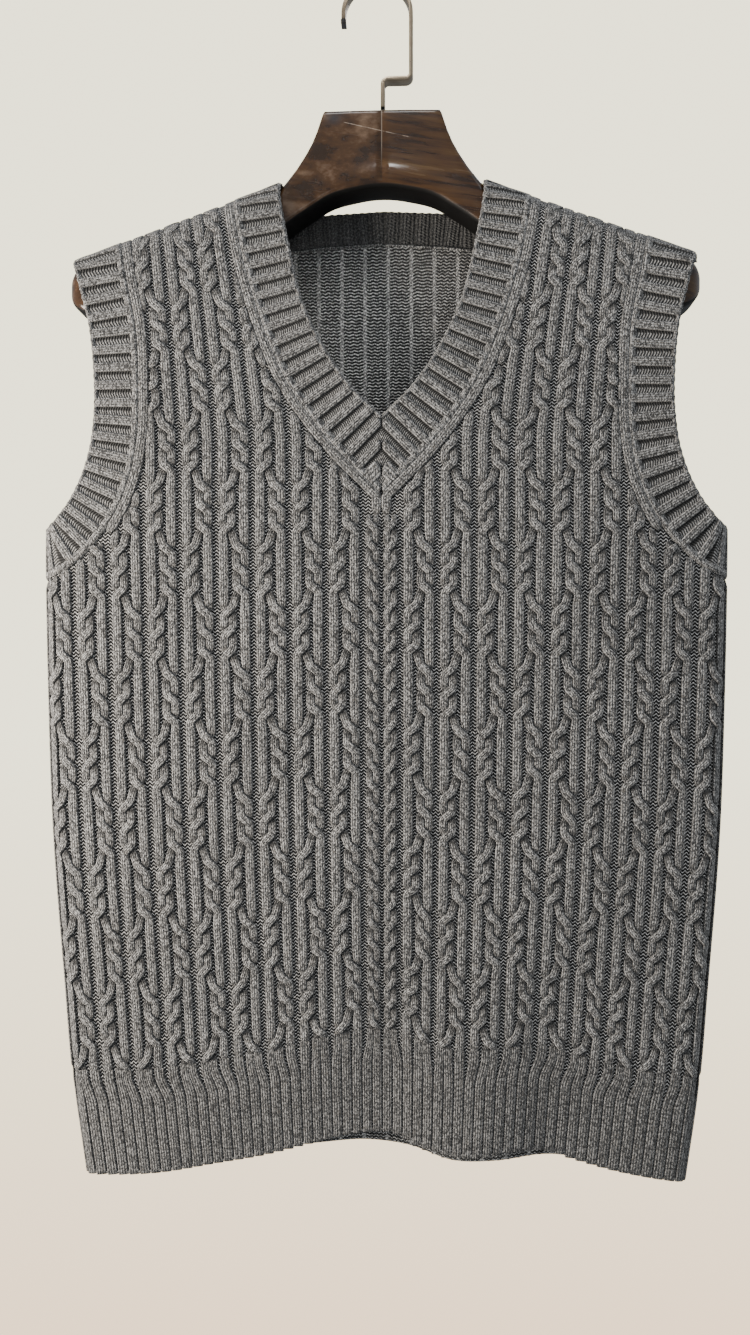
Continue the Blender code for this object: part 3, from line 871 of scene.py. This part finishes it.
def edgeTubes(side, sign):
    # one plain strand beside the seam of the armhole band, and one beside the neckband
    tubes = []
    arm = movedLine(armholeLine(side, "seam"), -cable["edgeInset"])
    arm = arm[arm[:, 1] > cable["edgeEnd"]]
    neck = movedLine(neckLine(side, "seam"), cable["edgeInset"])
    if side == front:
        neck = neck[neck[:, 0] > cable["edgeHalfWidth"] - 0.3]
        down = np.linspace(neck[-1][1], cable["mitreEnd"], 8)[1:]
        neck = np.vstack((neck, np.stack((np.full(len(down), neck[-1][0]), down), axis=1)))
    else:
        neck = neck[neck[:, 0] > 0.5]
    lift, half, gap = cable["lift"], cable["edgeHalfWidth"], hem["seamGap"]
    for line in (arm, neck):
        line = stepped(line)
        line = line[line[:, 1] < shoulderSeamZ(line[:, 0], side) - 0.5]
        tubes.append(lineTube(line, sign, side, lift, half, strandHeight(*line.T), taper=True, mitre=gap))
    if side == back:
        # the row that links the neckband on shows inside; it is painted lighter (shade -0.2) as painted
        # light
        line = stepped(movedLine(neckLine(side, "seam"), 1))
        tubes.append(lineTube(line, sign, side, *cable["linkingRow"], roundRing, -0.2))
    return tubes


def makeCables(name, side, sign, material):
    outline = bodyOutline(side)
    arm = armholeLine(side, "seam")
    arm = arm[arm[:, 1] > cable["edgeEnd"] + 2] * (sign, 1)
    neck = neckLine(side, "seam") * (sign, 1)
    tubes = edgeTubes(side, sign)
    for u, v, lift, wide, shade in allStrands():
        if u.mean() * sign < 0:
            continue
        x, z = fabricToSheet(u, v, side)
        points = np.stack((x, z), axis=1)
        keep = insideOutline(points, outline)
        if side == front:
            keep &= (np.abs(x) > 9) | (z < cable["mitreEnd"])
        wide = wide * spread(u, z)[0]
        for line in (arm, neck):
            points, wide = besideLine(points, wide, line)
        keep &= wide > cable["thinnest"]
        x, z = points.T
        high = strandHeight(x, z)
        lift = cable["lift"] + lift * (1 - 0.75 * atFold(x, z))
        rows = np.stack((x, z, lift, wide, high, -v, shade))
        for start, end in runs(keep, cable["shortest"]):
            x, z, *sizes, shade = rows[:, start:end]
            tubes.append(strandTube(x, z, side, *sizes, shade=shade, taper=True))
    return joinTubes(name, tubes, material)


ribbing = {
    "fill": 0.95,
    "high": 0.75,
    "lift": -0.6,
    "edge": 1.2,
    "stepDown": 3,
    "startAbove": 4.5,
    "middlePitch": 0.93,  # the ridges stand closer in the middle than at the sides
    "evenBy": 0.3,
}


def makeHemRidges(name, side, material):
    # every strand of the body carries on as one ridge, down to the cast-on edge
    tubes = []
    strands = allStrands()
    height = hem["ribHeight"]
    down = np.linspace(-ribbing["startAbove"] / height, 1, int(height / ribbing["stepDown"]))
    for number, strand in enumerate(strands):
        even = (number + 0.5) / len(strands) * 2 - 1
        widening = 1 - ribbing["middlePitch"]
        evenPlace = even * (ribbing["middlePitch"] + widening * even**2)
        u = float(strand[0][-1])
        topX, _ = fabricToSheet(np.array([u]), np.array([knit["ribTop"]]), side)
        topPlace = topX / sideFoldX(hemZ(topX, side) + height)
        settled = eased(down / ribbing["evenBy"])
        place = topPlace * (1 - settled) + evenPlace * settled
        x = place * sideFoldX(-800)
        for _ in range(3):
            z = hemZ(x, side) + height * (1 - down) - 0.4
            x = place * sideFoldX(z)
        pitch = (ribbing["middlePitch"] + 3 * widening * even**2) * 2 / len(strands) * sideFoldX(z)
        wide = strand[3][-1] * (1 - settled) + pitch / 2 * ribbing["fill"] * settled
        high = ribbing["high"] * (0.35 + 0.65 * eased((down - down[0]) / 0.1))
        tubes.append(strandTube(x, z, side, ribbing["lift"], wide, high, down * height))
    x = np.linspace(-1, 1, 400)
    x = x * sideFoldX(hemZ(x * 220, side))
    bead = ribbing["edge"] * (1 + 0.15 * np.cos(x * 2 * math.pi / knit["wale"]))
    z = hemZ(x, side) + ribbing["edge"]
    tubes.append(strandTube(x, z, side, -1.2, bead, bead, x - x[0], roundRing, -0.15))
    return joinTubes(name, tubes, material)


def makeRibWall(name, side, materials):
    bm = bmesh.new()
    bodyX, bodyZ = (grid[-1] for grid in bodyGrid(side, 1))
    place = bodyX / sideFoldX(bodyZ)
    for sign in (1, -1):
        x = sign * bodyX
        for _ in range(3):
            top, bottom = hemZ(x, side) + hem["ribHeight"] - hem["seamGap"], hemZ(x, side)
            z = top + (bottom - top) * np.linspace(0, 1, 24)[:, None]
            x = sign * place * sideFoldX(z)
        layKnitWall(bm, x, z, side)
    return closeWall(bm, name, materials)


band = {
    "neckPitch": 11.1,
    "neckHalf": 3.15,
    "armPitch": 12.4,
    "armHalf": 3.4,
    "high": 1.35,
    "lift": -0.9,
    "groundDepth": 1,
    "mitreReach": 40,
    "mitreGap": 0.6,
    "course": 2.1,
    # lift, half width, height and beading of the rounded row along the seam and the free edge
    "link": (-0.85, 2.9, 1.2, 0),
    "edge": (-1.2, 1.5, 1.05, 0.14),
    "shortRib": 12,  # in points: shorter ones, at the foot of the mitre, leave no valley between them
}


def bandEdges(line, side, count=200):
    return [evenly(line(side, edge), count) for edge in ("seam", "free")]


def bandMiddle(line, side, extend):
    # the line midway between a band's seam and free edge, run on straight past the mitre
    middle = sum(bandEdges(line, side)) / 2
    if extend:
        heading = middle[-1] - middle[-4]
        heading /= np.linalg.norm(heading)
        middle = np.vstack((middle, middle[-1] + heading * np.linspace(0.5, extend, 60)[:, None]))
    return middle


def bandOutline(line, side):
    seam, free = bandEdges(line, side)
    return np.vstack((seam, free[::-1]))


def bandRibs(line, side, pitch, extend):
    # rib lines square to a band, from its seam to its free edge
    middle, outline = bandMiddle(line, side, extend), bandOutline(line, side)
    ribs = []
    for place in np.arange(pitch / 2, lineLength(middle), pitch):
        at = alongLine(middle, [place])[0]
        way = alongLine(middle, [place + 4])[0] - alongLine(middle, [place - 4])[0]
        way /= np.linalg.norm(way)
        points = at + np.array((-way[1], way[0])) * np.linspace(-60, 60, 109)[:, None]
        keep = insideOutline(points, outline) & (points[:, 0] > 0.6)
        for start, end in runs(keep, 7):
            ribs.append(points[start:end])
    return ribs


def bandWallGrid(bm, line, side, way, sign, extend):
    seam, free = bandEdges(line, side, 110)
    seam = movedLine(seam, way * hem["seamGap"])
    if line is armholeLine:
        seam[-1, 0], free[-1, 0] = sideFoldX(seam[-1, 1]), sideFoldX(free[-1, 1])
    shares = np.linspace(0, 1, 16)[None, :, None]
    rows = seam[:, None, :] * (1 - shares) + free[:, None, :] * shares
    x, z = rows[..., 0], rows[..., 1]
    z[0] = shoulderSeamZ(x[0], side)
    middle = bandMiddle(line, side, extend)
    middle = alongLine(middle, np.arange(0, lineLength(middle), 0.5))
    away = rows[:, :, None, :] - middle[None, None]
    nearest = np.linalg.norm(away, axis=3).argmin(axis=2)
    along = placesAlong(middle)[nearest]
    across = np.linalg.norm(seam[:, None, :] - rows, axis=2)
    layWall(bm, x * sign, z, side, {"bandAlong": along, "bandAcross": across}, band["groundDepth"])


def makeBand(name, line, signs, sizes, extend, way, materials, ridgeMaterial):
    pitch, half = sizes
    bm = bmesh.new()
    tubes = []
    for side in (front, back):
        reach = extend if side == front else 0
        for sign in signs:
            bandWallGrid(bm, line, side, way, sign, reach)
            gap = band["mitreGap"]
            for rib in bandRibs(line, side, pitch, reach):
                wide = half if len(rib) > band["shortRib"] else pitch / 2
                tubes.append(lineTube(rib, sign, side, band["lift"], wide, band["high"], mitre=gap))
            lines = bandEdges(line, side, 260)
            for row, path, other in (("link", *lines), ("edge", *lines[::-1])):
                lift, bead, high, beading = band[row]
                inward = (other - path) / (np.linalg.norm(other - path, axis=1)[:, None] + 1e-9)
                path = path + inward * bead * 0.6
                bead = bead * (1 + beading * np.cos(placesAlong(path) * 4 * math.pi / pitch))
                tubes.append(lineTube(path, sign, side, lift, bead, high, roundRing, -0.1, mitre=gap))
    ground = closeWall(bm, name, materials)
    return ground, joinTubes(name + "_ribs", tubes, ridgeMaterial)


def bandSheet(line, copies):
    # length, width and area of a band before it was joined into a ring
    length = sum(lineLength(bandMiddle(line, side, 0)) for side in (front, back)) * copies * mm
    area = sum(areaOf(bandOutline(line, side)) for side in (front, back)) * copies
    return length, area / length * 1.04, area


# hanger: each section's place along, top, bottom, thickness, and rounding of its top corners
hangerRows = (
    (0, -96, -149, 35, 3, 3),
    (20, -96.1, -151.8, 35, 3, 3),
    (40.7, -96.5, -158.7, 35, 3, 3),
    (42, -98.6, -159.5, 35, 3, 3),
    (46, -110.5, -162.2, 35.1, 3, 3),
    (49.5, -119, -164.6, 35.2, 3, 3),
    (54, -127, -167.6, 35.4, 3.5, 3.5),
    (60.5, -136.5, -172, 35.6, 5, 5),
    (66.5, -142.8, -176.4, 35.8, 9, 8),
    (72, -147.6, -180, 36, 15, 11),
    (78, -150.4, -183.8, 36.4, 17, 11.5),
    (86, -153, -188.8, 37, 18, 12),
    (100, -157.9, -196.5, 38, 19, 12),
    (125, -167, -208, 39.5, 19.7, 12),
    (150, -176.3, -219, 41, 20.5, 12),
    (180, -187.5, -232, 43, 21.5, 12.5),
    (204, -198, -240, 44, 22, 13.5),
)
hanger = {
    "capLength": 20,
    "bottomRound": 6,
    "capSteps": 12,
    "cornerSteps": 8,
    "between": 3,
    "seam": 0.4,
    "archDrop": 1.2,  # the underside is smoothed over the middle by this much
    "archReach": 60,
}


def hangerSection(row):
    # depth, height and how far each point of one upright section faces down
    _, top, bottom, thick, deep, high = row
    half, low = thick / 2, hanger["bottomRound"]
    corners = (
        (half - deep, top - high, deep, high),
        (deep - half, top - high, deep, high),
        (low - half, bottom + low, low, low),
        (half - low, bottom + low, low, low),
    )
    points = []
    for turn, (centreY, centreZ, wide, tall) in enumerate(corners):
        angles = math.pi / 2 * (turn + np.linspace(0, 1, hanger["cornerSteps"]))
        ends = (centreY + wide * np.cos(angles), centreZ + tall * np.sin(angles), -np.sin(angles))
        points.append(np.stack(ends, axis=1))
    loop = []
    for arc, following in zip(points, points[1:] + points[:1]):
        loop += [arc, np.linspace(arc[-1], following[0], hanger["between"] + 2)[1:-1]]
    return np.vstack(loop)


def makeHanger(name, materials):
    # one smooth piece for both arms, from one rounded end to the other
    last = hangerRows[-1]
    keys = [row[0] for row in hangerRows]
    mirrored = [(-row[0], row[2]) for row in hangerRows[:0:-1]] + [(row[0], row[2]) for row in hangerRows]
    archAt = columnCurve(mirrored, 1)
    places = np.concatenate([np.linspace(a, b, 5)[:-1] for a, b in zip(keys, keys[1:])] + [[keys[-1]]])
    places = np.concatenate(([hanger["seam"]], places[1:]))
    sections = []
    for x in places:
        row = [np.interp(x, keys, [values[column] for values in hangerRows]) for column in range(6)]
        row[2] = float(archAt(x)) - hanger["archDrop"] * max(0, 1 - x / hanger["archReach"])
        sections.append((x, hangerSection(row)))
    middleZ = (last[1] + last[2]) / 2
    for angle in np.linspace(0, math.pi / 2, hanger["capSteps"] + 1)[1:-1]:
        loop = hangerSection(last)
        loop[:, :2] = (loop[:, :2] - (0, middleZ)) * math.cos(angle) + (0, middleZ)
        sections.append((last[0] + hanger["capLength"] * math.sin(angle), loop))
    tip = hangerSection(last)
    tip[:, :2] = (0, middleZ)
    sections.append((last[0] + hanger["capLength"], tip))
    groove = sections[0][1].copy()
    facing = groove[:, 2] < 0.3
    groove[facing, 0] *= 0.985
    sections = [(-x, loop) for x, loop in sections[::-1]] + [(0, groove)] + sections
    x = np.array([[x] for x, _ in sections])
    y, z, down = np.moveaxis(np.array([loop for _, loop in sections])[:, [*range(len(tip)), 0]], 2, 0)
    y = y - shoulder["tipForward"] * (x / shoulder["tipX"]) ** 2
    bm = bmesh.new()
    layGrid(bm, np.stack((x + 0 * y, y, z), axis=-1) * mm, {"under": down})
    closeMesh(bm, 1e-7)
    return linkObject(bm, name, materials)


hook = {
    "thick": 2.9,
    "wide": 11.3,
    "innerRadius": 22.7,
    "centreX": -4,
    "bendRadius": 4,
    "stepZ": -69.2,
    "endZ": -26.2,
    "tipEndZ": -29.2,
    "tipThick": 3.7,
    "tipWide": 12.2,
    "tipRound": 2.4,
    "footZ": -110.7,
    "bevel": 0.35,
}


def arc(centreX, centreZ, radius, start, end, steps):
    angles = np.radians(np.linspace(start, end, steps + 1))
    way = 1 if end > start else -1
    x, z = centreX + radius * np.cos(angles), centreZ + radius * np.sin(angles)
    return np.stack((x, z, -np.sin(angles) * way, np.cos(angles) * way), axis=1)


def hookPath():
    radius = hook["innerRadius"] + hook["thick"] / 2
    loopZ = -math.sqrt(hook["innerRadius"] ** 2 - hook["centreX"] ** 2)
    bend, standX = hook["bendRadius"], hook["centreX"] + radius
    return np.vstack((
        ((0, hook["footZ"], 0, 1),),
        arc(bend, hook["stepZ"] - bend, bend, 180, 90, 8),
        arc(standX - bend, hook["stepZ"] + bend, bend, -90, 0, 8),
        arc(hook["centreX"], loopZ, radius, 0, 180, 72),
        ((hook["centreX"] - radius, hook["endZ"], 0, -1),),
    ))


def roundEdges(bm, offset, segments, edges):
    bmesh.ops.bevel(
        bm, geom=edges, offset=offset * mm, offset_type="OFFSET", segments=segments, profile=0.5,
        affect="EDGES", material=-1,
    )


def makeHook(name, materials):
    # a flat strip bent to the loop, with its edges broken
    x, z, wayX, wayZ = hookPath().T
    half = hook["thick"] / 2
    left = np.stack((x - wayZ * half, z + wayX * half), axis=1)
    right = np.stack((x + wayZ * half, z - wayX * half), axis=1)
    bm = bmesh.new()
    ends = -hook["wide"] / 2
    outline = [bm.verts.new(Vector((x, ends, z)) * mm) for x, z in np.vstack((left, right[::-1]))]
    made = bmesh.ops.extrude_face_region(bm, geom=[bm.faces.new(outline)], use_keep_orig=True)
    moved = [item for item in made["geom"] if isinstance(item, bmesh.types.BMVert)]
    bmesh.ops.translate(bm, vec=Vector((0, hook["wide"], 0)) * mm, verts=moved)
    bmesh.ops.recalc_face_normals(bm, faces=bm.faces)
    bm.normal_update()
    roundEdges(bm, hook["bevel"], 2, [edge for edge in bm.edges if edge.calc_face_angle() > 0.6])
    piece = linkObject(bm, name, materials)
    piece.data.set_sharp_from_angle(angle=math.radians(28))
    return piece


def makeTip(name, materials):
    # the soft cap on the strip's free end
    top = hook["endZ"] - 0.3
    size = (hook["tipThick"], hook["tipWide"], top - hook["tipEndZ"])
    centre = (hook["centreX"] - hook["innerRadius"] - hook["thick"] / 2, 0, (top + hook["tipEndZ"]) / 2)
    bm = bmesh.new()
    bmesh.ops.create_cube(bm, size=1)
    bmesh.ops.scale(bm, vec=Vector(size) * mm, verts=bm.verts)
    bmesh.ops.translate(bm, vec=Vector(centre) * mm, verts=bm.verts)
    low = min(vert.co.z for vert in bm.verts) + 0.5 * mm
    lowEdges = [edge for edge in bm.edges if all(vert.co.z < low for vert in edge.verts)]
    corners = [edge for edge in lowEdges if abs(edge.verts[0].co.x - edge.verts[1].co.x) > mm]
    roundEdges(bm, hook["tipRound"], 6, corners)
    roundEdges(bm, 0.25, 2, [edge for edge in bm.edges if edge.calc_face_angle() > 0.6])
    return linkObject(bm, name, materials)


wood = {
    "dark": (0.022, 0.011, 0.005),
    "brown": (0.056, 0.026, 0.009),
    "pale": (0.150, 0.098, 0.062),
    "streakDark": (0.018, 0.009, 0.005),
    "streakOlive": (0.086, 0.048, 0.014),
    "bluish": (0.020, 0.021, 0.028),
    "bareAndSeamHighlight": (0.620, 0.520, 0.420),
    "undersideShade": (0.0015, 0.0012, 0.001),
    "roughness": 0.3,
    "grainSlope": -0.17,
    "scratch": ((-27.6, -105), (19.7, -116.4)),
    "scratchWidth": (0, 0.34),
    "chips": ((-22.6, -97.2, 1.3), (16.2, -97, 1.5)),
}


def woodFinish(name):
    # painted grain under a clear coat: mottled on the left, streaked on the right
    finish = Finish(name, wood["roughness"], Coat_Weight=0.5, Coat_Roughness=0.07, Specular_IOR_Level=0.3)
    place = finish.place()
    x, z = finish.axis(place, 0), finish.axis(place, 2)
    front = 1 - finish.axis(place, 1).over(-16, -14)
    cloud = finish.noise(finish.stretched(place, (1, 1, 1.6)), 48, 5, 0.62)
    left = finish.ramp(cloud, ((0.38, wood["dark"]), (0.52, wood["brown"]), (0.68, wood["pale"])))
    turned = finish.stretched(place, (1, 1, 1), wood["grainSlope"])
    grain = finish.stretched(turned, (16, 60, 210))
    streak = finish.noise(grain, 1, 4, 0.6)
    olive = (0.70, wood["streakOlive"])
    right = finish.ramp(streak, ((0.36, wood["streakDark"]), (0.52, wood["brown"]), olive))
    colour = finish.mixed(x.over(-8, 10), left, right)
    colour = finish.mixed(x.spot(-34, 9) * z.spot(-102, 7) * 0.85, colour, wood["bluish"])
    (startX, startZ), (endX, endZ) = wood["scratch"]
    line = z - startZ - (x - startX) * ((endZ - startZ) / (endX - startX))
    broken = finish.noise(place, 160, 3, 0.7).over(0.42, 0.58)
    scratch = 1 - line.abs().over(*wood["scratchWidth"])
    scratch = scratch * x.over(startX, startX + 2) * (1 - x.over(endX - 2, endX))
    wearAndSeamHighlight = scratch * (broken * 0.5 + 0.1) * front
    for chipX, chipZ, reach in wood["chips"]:
        wearAndSeamHighlight = wearAndSeamHighlight.atLeast(x.spot(chipX, reach) * z.spot(chipZ, 1.6) * broken * 1.4)
    rim = (z * -1).over(95.4, 97.2)
    wearAndSeamHighlight = wearAndSeamHighlight.atLeast((1 - rim) * finish.noise(place, 120, 3, 0.6).over(0.5, 0.7) * 0.2)
    # painted highlight: a pale line is painted down the seam in the middle of the face, fading out
    # towards the bottom; the same pale colour also marks the real scratch, chips and worn top edge
    seam = (1 - (x + 0.3).abs().over(0.1, 0.4)) * (1 - (z * -1).over(112, 140))
    wearAndSeamHighlight = wearAndSeamHighlight.atLeast(seam * 0.42)
    colour = finish.mixed(wearAndSeamHighlight.atMost(1), colour, wood["bareAndSeamHighlight"])
    # painted shade: where the hanger faces down it is painted near black
    under = finish.attribute("under").over(0.5, 0.72)
    finish.colour(finish.mixed(under, colour, wood["undersideShade"]))
    finish.put(Roughness=wearAndSeamHighlight * 0.4 + streak * 0.12 + 0.2 + under * 0.3)
    finish.put(Coat_Weight=(1 - under) * (1 - wearAndSeamHighlight) * 0.6)
    finish.bump(streak * 0.5 + cloud * 0.4 - wearAndSeamHighlight * 1.2, 0.0002)
    return finish.material


metal = {
    "light": (0.40, 0.33, 0.24),
    "deep": (0.21, 0.165, 0.115),
    "foot": (0.01, 0.01, 0.01),
    "footFrom": (89.2, 90),
    "roughness": 0.30,
}


def metalFinish(name):
    # champagne metal, brushed round the loop
    finish = Finish(name, metal["roughness"], Metallic=1)
    place = finish.place()
    brushed = finish.noise(finish.stretched(place, (60, 900, 60)), 6, 3, 0.6)
    stain = finish.noise(place, 70, 3, 0.55).over(0.35, 0.7)
    foot = (finish.axis(place, 2) * -1).over(*metal["footFrom"])
    colour = finish.mixed(stain * 0.6 + brushed * 0.3, metal["light"], metal["deep"])
    finish.colour(finish.mixed(foot, colour, metal["foot"]))
    finish.put(Roughness=brushed * 0.2 + stain * 0.12 + 0.2)
    finish.bump(brushed, 0.00004)
    return finish.material


def capFinish(name):
    finish = Finish(name, 0.5)
    place = finish.place()
    grain = finish.noise(place, 900, 2, 0.5)
    finish.colour(finish.ramp(grain, ((0.3, (0.006, 0.006, 0.007)), (0.7, (0.022, 0.021, 0.022)))))
    finish.bump(grain, 0.00005)
    return finish.material


print("finishes")
# painted light and shade: the same yarn is painted lighter or darker for each piece by the number after
# rowShare, darker on the rib and the bands than on the cables
cableYarn = strandFinish("cable_yarn", knit["course"], 0.60, 0.87, 0.75)
ribYarn = strandFinish("rib_yarn", knit["course"], 0.30, 0.51, 0.75)
bandYarn = strandFinish("band_yarn", band["course"], 0.25, 0.80, 0.55)
purlGround = groundFinish("purl_ground")
neckGround = bandGroundFinish("neckband_valley", band["neckPitch"])
armGround = bandGroundFinish("armband_valley", band["armPitch"])
wrongSide = reverseFinish("wrong_side")
# painted shadow: the wrong side of the neckband is painted darker than that of the armhole bands, where
# the hanger shades it
neckReverse = bandReverseFinish("neckband_reverse", band["neckPitch"], 0.58)
armReverse = bandReverseFinish("armband_reverse", band["armPitch"], 0.7)

print("hanger")
hangerWood = makeHanger("hanger_wood", [woodFinish("dark_wood")])
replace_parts(hangerWood, "hanger_arm_left", "hanger_arm_right")
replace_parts(makeHook("hook_strip", [metalFinish("champagne_metal")]), "hanger_hook")
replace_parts(makeTip("hook_cap", [capFinish("black_cap")]), "hook_tip")

print("body panels")
for sideName, side in (("front", front), ("back", back)):
    body = makeBodyWall(sideName + "_body_ground", side, [purlGround, wrongSide])
    cables = [
        makeCables(sideName + "_cables_" + key, side, sign, cableYarn)
        for key, sign in (("left", -1), ("right", 1))
    ]
    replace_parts(body, sideName + "_body")
    ribGround = makeRibWall(sideName + "_hem_ground", side, [purlGround, wrongSide])
    ridges = makeHemRidges(sideName + "_hem_ridges", side, ribYarn)
    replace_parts(ribGround, sideName + "_hem_rib")
    outline = bodyOutline(side)
    area = areaOf(outline)
    ribWidth = 2 * float(sideFoldX(-815)) * mm
    print(sideName, "rib", round(ribWidth, 3))

print("bands")
neckSizes, armSizes = (band["neckPitch"], band["neckHalf"]), (band["armPitch"], band["armHalf"])
neck = (neckLine, neckSizes, band["mitreReach"], -1, (neckGround, neckReverse))
arm = (armholeLine, armSizes, 0, 1, (armGround, armReverse))
bands = (
    ("neckband", "neckband_ground", (1, -1), neck),
    ("armhole_band_right", "armband_right_ground", (1,), arm),
    ("armhole_band_left", "armband_left_ground", (-1,), arm),
)
for node, name, signs, (line, sizes, extend, way, finishes) in bands:
    piece, ridges = makeBand(name, line, signs, sizes, extend, way, finishes, bandYarn)
    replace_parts(piece, node)
    length, width, area = bandSheet(line, len(signs))
    print(node, round(length, 3), round(width, 3), round(area, 4))

print("room")
room = {
    "high": (2.62, 2.45, 1.78),
    "low": (2.15, 1.62, 1.10),
    "light": (0.305, 0.325, 0.345),
    "lowEnds": -0.45,
    "highStarts": -0.05,
    "lampsAim": (0, 0, -0.45),
    "floorZ": -1.9,
    "floorSize": 1.5,
    "floorColour": (0.80, 0.78, 0.74),
}
world = bpy.data.worlds.new("room")
bpy.context.scene.world = world
world.use_nodes = True
sky = Nodes(world.node_tree)
height = sky.node("SeparateXYZ", {0: sky.node("TexCoord")}, 2)
rising = sky.node("MapRange", {0: height, 1: room["lowEnds"], 2: room["highStarts"]})
seen = sky.mixed(rising, room["low"], room["high"])
lit = sky.mixed(sky.node("LightPath"), room["light"], seen)
sky.feed(world.node_tree.nodes["Background"].inputs["Color"], lit)

bm = bmesh.new()
bmesh.ops.create_grid(bm, x_segments=1, y_segments=1, size=room["floorSize"])
bmesh.ops.translate(bm, vec=Vector((0, 0, room["floorZ"])), verts=bm.verts)
floorFinish = Finish("floor", 0.9)
floorFinish.colour(room["floorColour"])
meshObject(bm, "floor", [floorFinish.material])

# place, power, size and colour of each lamp, all turned to the middle of the vest
lamps = {
    "keyHigh": ((-0.2, -1, 1), 11.5, 0.7, (1, 0.985, 0.965)),
    "sideLeft": ((-0.78, -0.36, -0.50), 17, 0.45, (1, 0.91, 0.80)),
    "fillRight": ((1.1, -0.9, 0.7), 4, 1, (0.92, 0.96, 1)),
    "gleamFace": ((-0.031, -0.957, 0.189), 0.06, 0.016, (1, 1, 1)),
    "gleamEdge": ((0.315, -1.225, -0.483), 0.5, 0.05, (1, 1, 1)),
    "topBack": ((0.2, 1.2, 0.9), 12, 1, (1, 1, 1)),
}
for name, (place, power, size, colour) in lamps.items():
    lamp = bpy.data.lights.new(name, "AREA")
    lamp.energy, lamp.size, lamp.color = power, size, colour
    holder = newObject(name, lamp)
    holder.location = place
    holder.visible_camera = False
    holder.rotation_euler = (Vector(room["lampsAim"]) - Vector(place)).to_track_quat("-Z", "Y").to_euler()

view = {"place": (0.03774, -0.95777, -0.490), "turn": 2.6, "lens": 36, "sensor": 36}
camera = newObject("camera", bpy.data.cameras.new("camera"))
camera.location = view["place"]
camera.rotation_euler = (math.radians(90), 0, math.radians(view["turn"]))
camera.data.lens, camera.data.sensor_width = view["lens"], view["sensor"]
bpy.context.scene.camera = camera
